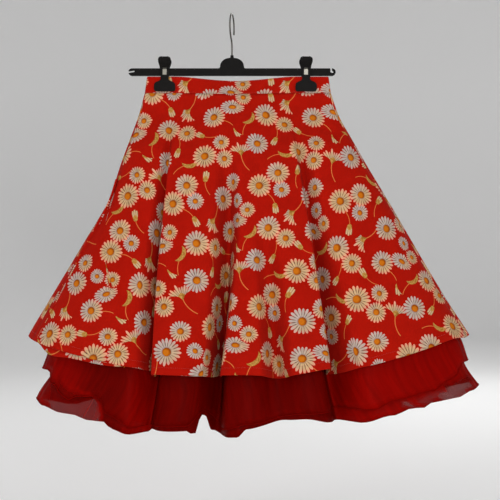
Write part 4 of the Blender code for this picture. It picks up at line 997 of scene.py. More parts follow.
def grained(kind, colours):
    """A finish whose colour and surface vary with a fine grain."""
    material, tree, shader = new_material(kind.name, kind.values)
    place = add_node(tree, "ShaderNodeTexCoord")["Object"]
    drawn = add_node(tree, "ShaderNodeMapping", {"Vector": place, "Scale": kind.stretch})[0]
    grain = add_node(tree, NOISE, {"Vector": drawn, "Scale": 1000.0 / kind.grain_mm, "Detail": 3.0})[0]
    tints = {3: 1.0 - kind.spread, 4: 1.0 + kind.spread}
    tint = add_node(tree, RANGE, {0: grain, **NOISE_SPAN, **tints})[0]
    colour = {0: tuple(getattr(colours, kind.colour)), "Scale": tint}
    tree.links.new(add_node(tree, VECTOR, colour, operation="SCALE")[0], shader.inputs["Base Color"])
    rough = kind.values["Roughness"]
    varied = {0: grain, **NOISE_SPAN, 3: rough - ROUGHNESS_SPREAD, 4: rough + ROUGHNESS_SPREAD}
    tree.links.new(add_node(tree, RANGE, varied)[0], shader.inputs["Roughness"])
    bump = {"Height": grain, "Strength": 0.4, "Distance": kind.depth}
    tree.links.new(add_node(tree, "ShaderNodeBump", bump)[0], shader.inputs["Normal"])
    return material


def finishes(colours):
    """Every finish by its name, made once."""
    if "printed_cotton" not in bpy.data.materials:
        printed_cotton(colours)
        sheer_organza(colours)
        for kind in GRAINED:
            grained(kind, colours)
    return bpy.data.materials


def blend(low, high, share):
    """The value part of the way from low to high."""
    return low + (high - low) * share


def ease(value):
    """A smooth step from 0 to 1."""
    held = np.clip(value, 0.0, 1.0)
    return held * held * (3.0 - 2.0 * held)


def along_table(rows, at):
    """The columns of a table at places in its first one, on smooth curves through its rows."""
    table = np.array(rows)
    knots = table[:, 0]
    order = np.arange(len(table))
    after = np.minimum(order + 1, len(table) - 1)
    before = np.maximum(order - 1, 0)
    slopes = (table[after] - table[before]) / (knots[after] - knots[before])[:, None]
    near = np.searchsorted(knots[1:-1], at)
    step = (knots[near + 1] - knots[near])[..., None]
    share = (np.asarray(at) - knots[near])[..., None] / step
    square = share**2
    cube = share**3
    value = (2.0 * cube - 3.0 * square + 1.0) * table[near]
    value += (cube - 2.0 * square + share) * step * slopes[near]
    value += (3.0 * square - 2.0 * cube) * table[near + 1]
    value += (cube - square) * step * slopes[near + 1]
    return np.moveaxis(value, -1, 0)


def section_at(sections, down):
    """The sizes of the ring at each height."""
    return Section(*along_table(sections, down))


def clip_bulge(x):
    """How far the waist bows out between the two clips: 1 in the middle, 0 at the clips."""
    inner_left = CLIP_X[0] + CLIP_HALF_JAW
    inner_right = CLIP_X[1] - CLIP_HALF_JAW
    share = np.clip((x - inner_left) / (inner_right - inner_left), 0.0, 1.0)
    return np.sin(math.pi * share) ** BULGE_POWER


def half_depth(section, across, front, flatness):
    """Distance of the cloth from the middle plane at a place across its width."""
    reach = np.where(front, section.front, section.back)
    outward = np.minimum(1.0, np.abs(across))
    oval = reach * (1.0 - outward**section.squareness) ** (1.0 / section.squareness)
    side = np.where(across < 0.0, section.left, section.right)
    from_end = np.minimum(1.0, side * (1.0 - outward) / PINCHED_HALF_DEPTH)
    rounded = np.sqrt(1.0 - (1.0 - from_end) ** 2)
    bulge = clip_bulge(SKIRT_CENTRE_X + across * side)
    flat = PINCHED_HALF_DEPTH * rounded + (reach - PINCHED_HALF_DEPTH) * bulge
    return blend(oval, flat, flatness)


def base_point(section, turn, flatness):
    """A point of the unfolded ring seen from above, X and Y as a complex number."""
    across = -np.cos(turn)
    side = np.where(across < 0.0, section.left, section.right)
    front = np.sin(turn) >= 0.0
    depth = half_depth(section, across, front, flatness)
    return SKIRT_CENTRE_X + across * side + 1j * np.where(front, -depth, depth)


def along_ring(section, turn, flatness):
    """The unit direction along the ring. A quarter turn to its left is inwards."""
    behind = base_point(section, turn - SMALL_TURN, flatness)
    ahead = base_point(section, turn + SMALL_TURN, flatness) - behind
    return ahead / np.abs(ahead)


def fold_turn(fold, section, down):
    """Where a fold's valley lies round the ring, in radians."""
    bow = fold.bow * np.sin(math.pi * np.minimum(1.0, down))
    x = blend(fold.waist_x, fold.hem_x, down) + bow - SKIRT_CENTRE_X
    side = np.where(x < 0.0, section.left, section.right)
    turn = np.arccos(-np.clip(x / side, -FOLD_LIMIT, FOLD_LIMIT))
    return turn if fold.face == "front" else math.tau - turn


def turn_at(place, down):
    """The turn of a place counted in folds: whole numbers are valleys, halves are crests."""
    section = section_at(SKIRT_SECTIONS, down)
    turns = np.stack([fold_turn(fold, section, down) for fold in FOLDS])
    index = np.floor(place).astype(int)
    share = place - index
    spread = share - COLUMN_PINCH * np.sin(math.tau * share) / math.tau
    ends = []
    for number in (index, index + 1):
        lap = math.tau * (number // len(FOLDS))
        ends.append(np.take_along_axis(turns, (number % len(FOLDS))[None], 0)[0] + lap)
    return blend(ends[0], ends[1], spread)


def ring_place(turn, down, flatness, inset=0.0, valley_inset=0.0, wider=0.0, strength=1.0):
    """A point of the folded ring from above, set in from the skirt's own line."""
    section = section_at(SKIRT_SECTIONS, down)
    point = base_point(section, turn, flatness)
    direction = along_ring(section, turn, flatness)
    inward = np.zeros(np.shape(point))
    along = np.zeros(np.shape(point))
    deepest = np.zeros(np.shape(point))
    held = np.minimum(down, 1.0)
    for fold in FOLDS:
        share = np.maximum(0.0, (held - fold.start) / (1.0 - fold.start))
        depth = fold.depth * ease(share * FOLD_ONSET) * share * strength
        centre = fold_turn(fold, section, down)
        gap = (turn - centre + math.pi) % math.tau - math.pi
        distance = np.abs(point - base_point(section, centre, flatness))
        upper = blend(fold.mid_width * FOLD_START_WIDTH, fold.mid_width, held * 2.0)
        lower = blend(fold.mid_width, fold.hem_width, (held - 0.5) * 2.0)
        width = np.where(held < 0.5, upper, lower) + wider
        near = (np.abs(gap) <= FOLD_REACH) & (depth > 0.0)
        core = np.where(distance < width, 0.5 + 0.5 * np.cos(math.pi * distance / width), 0.0)
        core = np.where(near, core, 0.0)
        tail = np.where(near, 1.0 / (1.0 + (distance / TAIL_WIDTH) ** 2), 0.0)
        inward += depth * ((1.0 - FOLD_TAIL) * core + FOLD_TAIL * tail)
        along += fold.lean * core * depth / fold.depth
        deepest = np.maximum(deepest, core)
    held_inset = blend(inset, np.minimum(inset, valley_inset), deepest)
    return point + direction * (1j * (inward + held_inset) + along)


def waist_z(x):
    """Height of the waist seam, which sags between the clips."""
    return WAIST_Z - WAIST_SAG * clip_bulge(x)


def waist_flatness(down):
    """1 at the clipped waist, 0 where the skirt hangs as an oval."""
    return 1.0 - ease(down / OVAL_FROM_DOWN)


def cloth_length(turn):
    """Length of the skirt from the waist seam to the hem, round the ring."""
    side = np.cos(turn)
    middle = np.where(np.sin(turn) >= 0.0, LENGTH_FRONT, LENGTH_BACK)
    length = blend(middle, np.where(side > 0.0, LENGTH_LEFT, LENGTH_RIGHT), side * side)
    drop = np.where((np.sin(turn) < 0.0) & (side > 0.0), BACK_LEFT_DROP * np.sin(2.0 * turn) ** 2, 0.0)
    return length + drop


def fall_at(place):
    """The drop from the waist seam to the hem for a place counted in folds, and its waist height."""
    waist = np.zeros_like(place)
    hem = np.ones_like(place)
    top = ring_place(turn_at(place, waist), waist, 1.0)
    low_turn = turn_at(place, hem)
    spread = np.abs(ring_place(low_turn, hem, 0.0) - top)
    return np.sqrt(cloth_length(low_turn) ** 2 - spread**2), waist_z(top.real)


def as_points(spot, z):
    """Points from complex plan places and heights."""
    return np.stack([spot.real, spot.imag, z], axis=-1)


def skirt_points(place, down, inset=0.0):
    """Points on the outside of the skirt, or of a layer of it that lies further in."""
    spot = ring_place(turn_at(place, down), down, waist_flatness(down), inset, inset)
    drop, top = fall_at(place)
    once_round = (place - LEFT_SEAM) % len(FOLDS) + LEFT_SEAM
    lift = along_table(HEM_TRIMS, np.where(place == FULL_ROUND, FULL_ROUND, once_round))[1]
    return as_points(spot, top - (drop - lift) * down)


def side_pleat(rows):
    """The pleat in which the left back panel folds forward behind the front one, and back again."""
    out_and_back = np.linspace(0.0, 1.0, PLEAT_COLUMNS)
    down = np.linspace(0.0, 1.0, rows)[:, None]
    opened = ease((down - PLEAT_TOP) / (1.0 - PLEAT_TOP))
    reach = np.sin(math.pi * out_and_back) ** PLEAT_POWER
    inset = blend(PLEAT_NEAR, PLEAT_FAR, ease(out_and_back)) * opened
    grid = skirt_points(FULL_ROUND + PLEAT_REACH * reach * opened, down + 0.0 * reach, inset)
    grid[..., 2] -= opened * along_table(PLEAT_HEM, reach)[1]
    return grid


def yoke_points(place, down):
    """Points on the outside of the petticoat's yoke, which hangs plain inside the skirt."""
    section = section_at(YOKE_SECTIONS, down)
    spot = base_point(section, turn_at(place, down), waist_flatness(down))
    drop, top = fall_at(place)
    held = YOKE_PINCH * (1.0 - ease(down / YOKE_PINCH_DOWN)) * (1.0 - clip_bulge(spot.real))
    return as_points(spot.real + 1j * spot.imag * (1.0 - held), top - drop * down)


def hem_z(table, x):
    """Height of a ruffle's front hem at places across it."""
    xs, zs = np.array(table).T
    near = np.clip(np.searchsorted(xs, x) - 1, 0, len(xs) - 2)
    share = ease((x - xs[near]) / (xs[near + 1] - xs[near]))
    return blend(zs[near], zs[near + 1], share)


def ruffle_inset(turn, down):
    """How far inside the skirt's own line the upper ruffle hangs."""
    outer = section_at(SKIRT_SECTIONS, down)
    inner = section_at(RUFFLE_SECTIONS, down)
    side = np.where(np.cos(turn) > 0.0, outer.left - inner.left, outer.right - inner.right)
    middle = np.where(np.sin(turn) >= 0.0, outer.front - inner.front, outer.back - inner.back)
    return blend(middle, side, np.cos(turn) ** 2)


def ruffle_hem(place, lower):
    """Height of a ruffle's hem, found where the ruffle really hangs at that height."""
    turn = turn_at(place, np.ones_like(place))
    behind = LOWER_BACK_HEM if lower else UPPER_BACK_HEM
    back = behind.z + behind.wave * np.sin(behind.waves * turn + behind.shift)
    around = np.where(np.sin(turn) >= 0.0, 0.0, ease(BACK_HEM_REACH * np.sin(turn) ** 2))
    z = back
    for _ in range(HEM_ROUNDS):
        front = hem_z(LOWER_HEM if lower else UPPER_HEM, ruffle_points(place, z, lower)[..., 0])
        z = blend(front, back, around)
    return z


def gathered_at(place):
    """How much deeper the petticoat's gathers lie at a place counted in folds, and their layers, which also
    paint shade into the organza's red.
    """
    recess = np.zeros(np.shape(place))
    layers = np.zeros(np.shape(place))
    for gather in GATHERS:
        share = ease((place - gather.start) / GATHER_SLOPE) * ease((gather.end - place) / GATHER_SLOPE)
        recess += gather.recess * share
        layers += gather.layers * share
    return recess, layers


def swing(rounds):
    """A wave from 0 to 1 and back in each round."""
    return 0.5 - 0.5 * np.cos(math.tau * rounds)


def ruffle_points(place, z, lower):
    """Points on the outside of a ruffle at given heights."""
    drop, top = fall_at(place)
    down = (top - z) / drop
    turn = turn_at(place, down)
    loose = ease((down - SWING_START) / SWING_SPAN)
    inset = ruffle_inset(turn, down) + UPPER_SWING * loose * swing(SWINGS * place)
    valley_inset = UPPER_VALLEY_INSET
    wider = UPPER_WIDER
    layer = 0.0
    if lower:
        layer = LAYER_START + LAYER_GAP * ease((down - RUFFLE_TOP) / LAYER_SPAN)
        inset += layer + LOWER_SWING * loose * swing(SWINGS * place + LOWER_SHIFT)
        flare = 1.0 - (1.0 - FLARE_LEFT) * ease((down - FLARE_START) / (FLARE_END - FLARE_START))
        side = np.maximum(0.0, np.cos(turn)) ** SIDE_POWER * ease((down - RUFFLE_TOP) / RECESS_SPAN)
        inset += LOWER_LEFT_INSET * flare * side
        valley_inset = LOWER_VALLEY_INSET
        wider += LOWER_WIDER
    inset += gathered_at(place)[0] * ease((down - RUFFLE_TOP) / RECESS_SPAN)
    strength = 1.0 - FOLD_FADE * ease((down - 1.0) / FOLD_FADE_SPAN)
    full = ring_place(turn, down, 0.0, inset, valley_inset, wider, strength)
    seam = section_at(RUFFLE_SECTIONS, np.full(np.shape(down), RUFFLE_TOP))
    gathered = base_point(seam, turn, 0.0) + along_ring(seam, turn, 0.0) * 1j * layer
    return as_points(blend(gathered, full, ease((down - RUFFLE_TOP) / GATHER_SPAN)), z)


def bunched_and_shaded_at(grid, place):
    """How far the organza lies in layers: 1 in most places, 0 in the thin patches, 2 in full gathers. Its
    red is painted darker by this, partly as painted shade.
    """
    thin = np.zeros(grid.shape[:2])
    front = grid[..., 1] < 0.0
    for patch in THIN_PATCHES:
        aside = grid[..., 0] - patch.x
        high = grid[..., 2] - patch.z - patch.slant * aside
        across = np.abs(aside / patch.half_width) ** PATCH_CORNERS
        away = (across + np.abs(high / patch.half_height) ** PATCH_CORNERS) ** (1.0 / PATCH_CORNERS)
        on_face = front == (patch.face == "front")
        thin = np.maximum(thin, np.where(on_face, patch.share * ease((1.0 - away) / PATCH_EDGE + 0.5), 0.0))
    return (1.0 + gathered_at(place)[1]) * (1.0 - thin)


def unit(directions):
    """Directions of length 1."""
    return directions / np.maximum(1e-12, np.linalg.norm(directions, axis=-1, keepdims=True))


def face_normals(grid):
    """Unit directions out of the cloth at each point of a grid."""
    return unit(np.cross(np.gradient(grid, axis=0), np.gradient(grid, axis=1)))


def creased(grid, creases):
    """The cloth with its drag lines and small troughs pressed in."""
    depth = np.zeros(grid.shape[:2])
    front = grid[..., 1] < 0.0
    for crease in creases:
        start = np.array((crease.x, crease.z))
        run = np.array((crease.to_x, crease.to_z)) - start
        length = np.linalg.norm(run)
        run = run / length
        offset = grid[..., (0, 2)] - start
        share = offset @ run / length
        fade = np.clip(1.0 - (2.0 * share - 1.0) ** 2, 0.0, 1.0)
        aside = offset @ np.array((-run[1], run[0])) - crease.bow * fade
        on_face = front == (crease.face == "front")
        depth += np.where(on_face, crease.depth * fade * np.exp(-((aside / crease.width) ** 2)), 0.0)
    return grid - face_normals(grid) * depth[..., None]


def select_nothing():
    """Deselect every object."""
    for other in list(bpy.context.selected_objects):
        other.select_set(False)


def select_only(piece):
    """Select one object and make it the active one."""
    select_nothing()
    piece.select_set(True)
    bpy.context.view_layer.objects.active = piece


@contextmanager
def edit_mode(selected="SELECT"):
    """Edit the active mesh, with all of it selected, none of it or what was picked before."""
    bpy.ops.object.mode_set(mode="EDIT")
    if selected:
        bpy.ops.mesh.select_all(action=selected)
    yield
    bpy.ops.object.mode_set(mode="OBJECT")


def apply_modifier(piece, kind, **settings):
    """Give a piece a modifier with its settings and apply it."""
    modifier = piece.modifiers.new(kind.title(), kind)
    for name, value in settings.items():
        setattr(modifier, name, value)
    select_only(piece)
    bpy.ops.object.modifier_apply(modifier=modifier.name)


def give_finish(piece, finish):
    """Shade a piece smooth, in its finish."""
    piece.data.materials.append(finish)
    select_only(piece)
    bpy.ops.object.shade_smooth()


def link_mesh(name, points, faces):
    """A mesh object from points and a list of faces, linked to the scene."""
    mesh = bpy.data.meshes.new(name)
    mesh.from_pydata(points.reshape(-1, 3).tolist(), [], faces)
    piece = bpy.data.objects.new(name, mesh)
    bpy.context.scene.collection.objects.link(piece)
    return piece


def grid_faces(rows, columns):
    """Four-sided faces of a grid, facing out of the cloth."""
    corner = np.arange(rows * columns).reshape(rows, columns)
    corners = (corner[:-1, :-1], corner[1:, :-1], corner[1:, 1:], corner[:-1, 1:])
    return np.stack(corners, axis=-1).reshape(-1, 4)


def stretched(values, picks, count, axis):
    """Values known at some rows or columns, filled in evenly between them."""
    spot = np.interp(np.arange(count), picks, np.arange(len(picks)))
    near = np.minimum(spot.astype(int), len(picks) - 2)
    share = (spot - near).reshape((-1, 1, 1) if axis == 0 else (1, -1, 1))
    return blend(np.take(values, near, axis), np.take(values, near + 1, axis), share)


def flat_layout(grid):
    """Where each point lies on the flat cloth, in metres, with the middle column upright."""
    rows, columns = grid.shape[:2]
    picked_rows = np.unique(np.linspace(0, rows - 1, FLAT_ROWS).round().astype(int))
    picked_columns = np.unique(np.linspace(0, columns - 1, FLAT_COLUMNS).round().astype(int))
    coarse = grid[picked_rows][:, picked_columns]
    faces = grid_faces(*coarse.shape[:2])
    piece = link_mesh("flat_pattern", coarse, faces.tolist())
    piece.data.uv_layers.new(name=CLOTH_UV)
    select_only(piece)
    with edit_mode():
        bpy.ops.uv.unwrap(method="MINIMUM_STRETCH", margin=0.0)
    corners = np.zeros(2 * faces.size)
    piece.data.uv_layers[CLOTH_UV].data.foreach_get("uv", corners)
    flat = np.zeros((coarse.shape[0] * coarse.shape[1], 2))
    flat[faces.reshape(-1)] = corners.reshape(-1, 2)
    real_area = sum(face.area for face in piece.data.polygons)
    quads = flat[faces]
    rising = quads[:, 2] - quads[:, 0]
    falling = quads[:, 3] - quads[:, 1]
    flat_area = abs(rising[:, 0] * falling[:, 1] - rising[:, 1] * falling[:, 0]).sum() / 2.0
    bpy.data.objects.remove(piece, do_unlink=True)
    spot = (flat[:, 0] + 1j * flat[:, 1]).reshape(coarse.shape[:2]) * math.sqrt(real_area / flat_area)
    middle = coarse.shape[1] // 2
    upright = spot[0, middle] - spot[-1, middle]
    spot = (spot - spot[0, middle]) * 1j * np.conj(upright) / abs(upright)
    if spot[-1, -1].real < spot[-1, 0].real:
        spot = -np.conj(spot)
    layout = np.stack([spot.real, spot.imag], axis=-1)
    return stretched(stretched(layout, picked_rows, rows, 0), picked_columns, columns, 1)


def cloth_sheet(name, grid, layout, wall, finish):
    """A smooth sheet through a grid of points on its outer face, with its wall towards the inside."""
    faces = grid_faces(*grid.shape[:2])
    sheet = link_mesh(name, grid, faces.tolist())
    flat = sheet.data.uv_layers.new(name=CLOTH_UV)
    flat.data.foreach_set("uv", layout.reshape(-1, 2)[faces.reshape(-1)].ravel())
    give_finish(sheet, finish)
    inwards = {"thickness": wall, "offset": -1.0}
    apply_modifier(sheet, "SOLIDIFY", **inwards, use_even_offset=True, use_quality_normals=True)
    return sheet


def set_bunched_and_shaded(sheet, values):
    """Store how far each point's cloth lies in layers, which also darkens its red as painted shade. The
    inner wall repeats the outer one.
    """
    stored = sheet.data.attributes.new(BUNCHED_AND_SHADED, "FLOAT", "POINT")
    stored.data.foreach_set("value", np.resize(np.ravel(values), len(sheet.data.vertices)))


def arc_lengths(grid, axis):
    """Distance along the rows (1) or columns (0) of a grid from its first point."""
    steps = np.linalg.norm(np.diff(grid, axis=axis), axis=-1)
    return np.concatenate([np.zeros_like(np.take(steps, [0], axis)), np.cumsum(steps, axis)], axis)


def ring_layout(grid):
    """A plain flat place for each point: its way along its row and down its column."""
    along = arc_lengths(grid, 1)
    down = arc_lengths(grid, 0)
    return np.stack([along - along[:, -1:] / 2.0, -down], axis=-1)


def sector_cut(grid):
    """Flat size and area of a piece cut as part of a ring, from its waist, hem and length."""
    along = arc_lengths(grid, 1)[:, -1]
    length = arc_lengths(grid, 0)[-1].mean()
    angle = (along[-1] - along[0]) / length
    inner = along[0] / angle
    outer = inner + length
    width = 2.0 * outer * math.sin(min(angle, math.pi) / 2.0)
    return (width, outer - inner * math.cos(angle / 2.0)), (along[0] + along[-1]) / 2.0 * length


def turned_in(grid, allowance):
    """The panel with its two seam edges turned in towards the inside of the garment."""
    inward = -face_normals(grid) * allowance
    first = grid[:, :1] + inward[:, :1]
    last = grid[:, -1:] + inward[:, -1:]
    return np.concatenate([first, grid, last], axis=1)


def turned_up(grid, depth, gap):
    """The panel with its hem turned up on the inside."""
    inward = -face_normals(grid)[-1:]
    upward = unit(grid[-4:-3] - grid[-1:])
    hem = grid[-1:]
    bottom = hem + inward * gap * HEM_BEND_IN - upward * gap * HEM_BEND_DOWN
    rows = [grid, bottom, hem + inward * gap]
    rows += [hem + inward * gap + upward * depth * share for share in (0.5, 1.0)]
    return np.concatenate(rows, axis=0)


def read_along(values, reached, spots):
    """The values of a line's points at distances along it."""
    return np.stack([np.interp(spots, reached, column) for column in values.T], axis=-1)


def spaced(line, outward, pitch):
    """Even places along a line, with the direction of the line and out of the cloth at each."""
    reached = arc_lengths(line, 0)
    spots = np.arange(pitch / 2.0, reached[-1], pitch)
    places = read_along(line, reached, spots)
    # The direction of the line is taken over a tenth of the pitch
    along = unit(read_along(line, reached, spots + pitch / 10.0) - places)
    out = read_along(outward, reached, spots)
    return places, along, unit(out - along * (out * along).sum(-1, keepdims=True))


def copied_along(name, pattern, places, along, out, finish):
    """One mesh with a copy of a small pattern piece at each place: its X along and its Z out."""
    points = np.array([vertex.co for vertex in pattern.data.vertices])
    faces = [tuple(face.vertices) for face in pattern.data.polygons]
    bpy.data.objects.remove(pattern, do_unlink=True)
    frames = np.stack([along, np.cross(out, along), out], axis=1)
    moved = np.einsum("pk,nkc->npc", points, frames) + places[:, None]
    shifts = range(0, len(places) * len(points), len(points))
    every = [tuple(corner + shift for corner in face) for shift in shifts for face in faces]
    piece = link_mesh(name, moved, every)
    give_finish(piece, finish)
    return piece


def short_bar(sides, rings, axis, size):
    """A short round bar with tapered ends, turned about an axis to lie along X or Y."""
    select_nothing()
    bpy.ops.mesh.primitive_uv_sphere_add(segments=sides, ring_count=rings, radius=0.5)
    bar = bpy.context.object
    with edit_mode():
        bpy.ops.transform.rotate(value=math.pi / 2.0, orient_axis=axis, center_override=ORIGIN)
        bpy.ops.transform.resize(value=size, center_override=ORIGIN)
    return bar


def one_stitch(length, diameter):
    """A single stitch along X, which dips at both ends."""
    return short_bar(6, 5, "Y", (length, diameter, diameter))


def sew(name, line, outward, sizes, finish):
    """A row of stitches along a line on the cloth."""
    stitch = one_stitch(sizes.stitch, sizes.thread)
    line = line + outward * sizes.thread * STITCH_PROUD
    places, along, out = spaced(line, outward, sizes.stitch * STITCH_PITCH)
    return copied_along(name, stitch, places, along, out, finish)


def rolled_edge(name, line, diameter, finish):
    """A thin roll of cloth along a hem."""
    curve = bpy.data.curves.new(name, "CURVE")
    curve.dimensions = "3D"
    curve.bevel_depth = diameter / 2.0
    curve.bevel_resolution = 1
    curve.use_fill_caps = True
    spline = curve.splines.new("POLY")
    spline.points.add(len(line) - 1)
    spline.points.foreach_set("co", np.concatenate([line, np.ones((len(line), 1))], axis=1).ravel())
    made = bpy.data.objects.new(name, curve)
    bpy.context.scene.collection.objects.link(made)
    select_only(made)
    bpy.ops.object.convert(target="MESH")
    edge = bpy.context.object
    with edit_mode():
        bpy.ops.mesh.remove_doubles(threshold=MERGED)
        bpy.ops.mesh.normals_make_consistent(inside=False)
    edge.data.materials.clear()
    give_finish(edge, finish)
    return edge


def settle(piece, slot, *nodes):
    """Let a finished piece ride on the body and stand for its solids. Its slot is not used."""
    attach(piece, "root")
    if nodes:
        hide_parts(*nodes)
    return piece


class SKIRT_OT_panels(bpy.types.Operator):
    """Make the front and the two back panels of the skirt, folded as they hang, with their print"""

    bl_idname = "skirt.panels"
    bl_label = "Skirt panels"

    def execute(self, context):
        sizes = context.scene.skirt_sizes
        finish = finishes(context.scene.skirt_colours)
        panels = (
            ("skirt_front", LEFT_SEAM, RIGHT_SEAM),
            ("skirt_back_right", RIGHT_SEAM, BACK_SEAM),
            ("skirt_back_left", BACK_SEAM, FULL_ROUND),
        )
        for name, start, end in panels:
            columns = int((end - start) * sizes.steps) + 1
            place, down = np.meshgrid(np.linspace(start, end, columns), np.linspace(0.0, 1.0, sizes.rows))
            grid = creased(skirt_points(place, down), CREASES)
            if name == "skirt_back_left":
                grid = np.concatenate([grid, side_pleat(sizes.rows)[:, 1:-1]], axis=1)
            grid[0, :, 2] -= SEAM_GAP
            flat, area = sector_cut(grid)
            wall = sizes.cotton_wall
            whole = turned_up(turned_in(grid, sizes.seam_allowance), sizes.hem_turn, wall * HEM_GAP)
            panel = cloth_sheet(name + "_cloth", whole, flat_layout(whole), wall, finish["printed_cotton"])
            settle(panel, "cotton", name)
            up = -round(sizes.hem_turn * HEM_STITCH_UP / LENGTH_FRONT * sizes.rows) - 1
            line = grid[up]
            outward = face_normals(grid)[up]
            stitches = sew(name + "_hem_stitches", line, outward, sizes, finish["polyester_thread"])
            settle(stitches, "cotton")
        return {"FINISHED"}


def band_points(turn, share):
    """Points on the outside of the waistband, from its top edge (0) to the waist seam (1)."""
    seam = SKIRT_SECTIONS[0]
    reach = PINCHED_HALF_DEPTH + BAND_TOP_BULGE
    top = seam._replace(left=BAND_HALF_WIDTH, right=BAND_HALF_WIDTH, front=reach, back=reach)
    high = base_point(top, turn, 1.0)
    low = base_point(seam, turn, 1.0)
    z = blend(BAND_TOP_Z - BAND_TOP_SAG * clip_bulge(high.real), waist_z(low.real), share)
    return as_points(blend(high, low, share), z)


class SKIRT_OT_waistband(bpy.types.Operator):
    """Make the waistband, one strip lapped at the centre back, with its edge stitching"""

    bl_idname = "skirt.waistband"
    bl_label = "Waistband"

    def execute(self, context):
        sizes = context.scene.skirt_sizes
        finish = finishes(context.scene.skirt_colours)
        lap = BAND_OVERLAP / 2.0 / SKIRT_SECTIONS[0].right
        tuck = BAND_TUCK / SKIRT_SECTIONS[0].right
        step = (math.tau + 2.0 * lap) / BAND_STEPS
        turns = np.linspace(CENTRE_BACK - lap, CENTRE_BACK + math.tau + lap, BAND_STEPS * BAND_FINER + 1)
        turn, share = np.meshgrid(turns, np.linspace(0.0, 1.0, BAND_ROWS))
        grid = band_points(turn, share)
        under = 1.0 - ease((turn - CENTRE_BACK - lap - step) / tuck)
        grid[..., 1] -= under * (BAND_WALL + LAP_CLEARANCE)
        band = cloth_sheet(
            "waistband_cloth", grid, ring_layout(grid), BAND_CLOTH_WALL, finish["printed_cotton"]
        )
        apply_modifier(band, "BEVEL", width=BAND_ROUNDING, **ROUNDED)
        settle(band, "cotton", "waistband")
        outward = face_normals(grid)
        for number, row in enumerate((0, BAND_ROWS - 1)):
            line = grid[row] + unit(grid[BAND_ROWS // 2] - grid[row]) * BAND_STITCH_INSET
            name = f"waistband_stitches_{number}"
            settle(sew(name, line, outward[row], sizes, finish["polyester_thread"]), "cotton")
        flat = (arc_lengths(grid, 1)[0, -1], arc_lengths(grid, 0)[-1].mean())
        return {"FINISHED"}


def make_yoke(name, start, end, sizes, organza):
    """One half of the petticoat's plain yoke, between two places counted in folds."""
    columns = int((end - start) * sizes.steps) // YOKE_COARSER + 1
    downs = np.linspace(YOKE_START, YOKE_END, YOKE_ROWS)
    place, down = np.meshgrid(np.linspace(start, end, columns), downs)
    grid = yoke_points(place, down)
    yoke = cloth_sheet(name + "_cloth", grid, ring_layout(grid), sizes.organza_wall, organza)
    set_bunched_and_shaded(yoke, np.ones(grid.shape[:2]))
    settle(yoke, "organza", name)
    flat, area = sector_cut(grid)


def make_ruffle(name, places, lower, sizes, organza):
    """One half of a ruffle, gathered on to the yoke, with its rolled hem."""
    drop, top = fall_at(places)
    first = top - drop * RUFFLE_TOP
    share = np.linspace(0.0, 1.0, LOWER_ROWS if lower else UPPER_ROWS)[:, None]
    z = first + (ruffle_hem(places, lower) - first) * share
    grid = creased(ruffle_points(np.broadcast_to(places, z.shape), z, lower), ORGANZA_CREASES)
    ruffle = cloth_sheet(name + "_cloth", grid, ring_layout(grid), sizes.organza_wall, organza)
    set_bunched_and_shaded(ruffle, bunched_and_shaded_at(grid, places))
    settle(ruffle, "organza", name)
    roll = rolled_edge(name + "_rolled_hem", grid[-1], sizes.rolled_hem, organza)
    set_bunched_and_shaded(roll, ROLLED_LAYERS)
    settle(roll, "organza")
    flat = (arc_lengths(grid, 1)[:, -1].max(), arc_lengths(grid, 0)[-1].mean())


class SKIRT_OT_petticoat(bpy.types.Operator):
    """Make the organza yoke and its two ruffles with their rolled hems"""

    bl_idname = "skirt.petticoat"
    bl_label = "Petticoat"

    def execute(self, context):
        sizes = context.scene.skirt_sizes
        finish = finishes(context.scene.skirt_colours)
        organza = finish["nylon_organza"]
        for side, start, end in (("front", LEFT_SEAM, RIGHT_SEAM), ("back", RIGHT_SEAM, FULL_ROUND)):
            yoke = "petticoat_yoke_" + side
            make_yoke(yoke, start, end, sizes, organza)
            places = np.linspace(start, end, int((end - start) * sizes.steps) + 1)
            make_ruffle("upper_ruffle_" + side, places, False, sizes, organza)
            make_ruffle("lower_ruffle_" + side, places, True, sizes, organza)
        return {"FINISHED"}


def make_lever(node, clip_x, facing, finish):
    """A clip's moulded lever on the front (-1) or the back (1) of the bar, with its window."""
    columns = np.array(LEVER_COLUMNS)
    z, half_width, out = (values[:, None] for values in np.array(LEVER_ROWS).T)
    select_nothing()
    bpy.ops.mesh.primitive_grid_add(x_subdivisions=len(columns) - 1, y_subdivisions=len(z) - 1, size=1.0)
    lever = bpy.context.object
    lever.name = node + "_lever"
    across = clip_x - facing * half_width * columns
    stands_out = out + LEVER_CROWN * (1.0 - columns**2)
    places = np.stack([across, facing * stands_out, z + 0.0 * across], axis=-1)
    lever.data.vertices.foreach_set("co", places[::-1].ravel())
    with edit_mode("DESELECT"):
        bpy.ops.mesh.select_mode(type="FACE")
    for pane in lever.data.polygons:
        beside = abs(pane.center.x - clip_x) < WINDOW_HALF_WIDTH
        pane.select = beside and WINDOW_BOTTOM < pane.center.z < WINDOW_TOP
    with edit_mode(selected=None):
        bpy.ops.mesh.delete(type="FACE")
        bpy.ops.mesh.select_mode(type="VERT")
    apply_modifier(lever, "SOLIDIFY", thickness=LEVER_WALL, offset=0.0, use_even_offset=True)
    apply_modifier(lever, "BEVEL", width=LEVER_ROUNDING, **ROUNDED)
    bpy.ops.object.shade_smooth_by_angle(angle=SHARP_ANGLE)
    lever.data.materials.append(finish)
    return lever


class SKIRT_OT_clips(bpy.types.Operator):
    """Make the moulded levers of the two clips, with their windows and rounded jaws"""

    bl_idname = "skirt.clips"
    bl_label = "Clip levers"

    def execute(self, context):
        moulded = finishes(context.scene.skirt_colours)["moulded_polystyrene"]
        for side, clip_x in zip(("left", "right"), CLIP_X):
            for face, facing in (("front", -1.0), ("back", 1.0)):
                node = f"clip_{side}_{face}"
                settle(make_lever(node, clip_x, facing, moulded), "plastic", node)
        return {"FINISHED"}


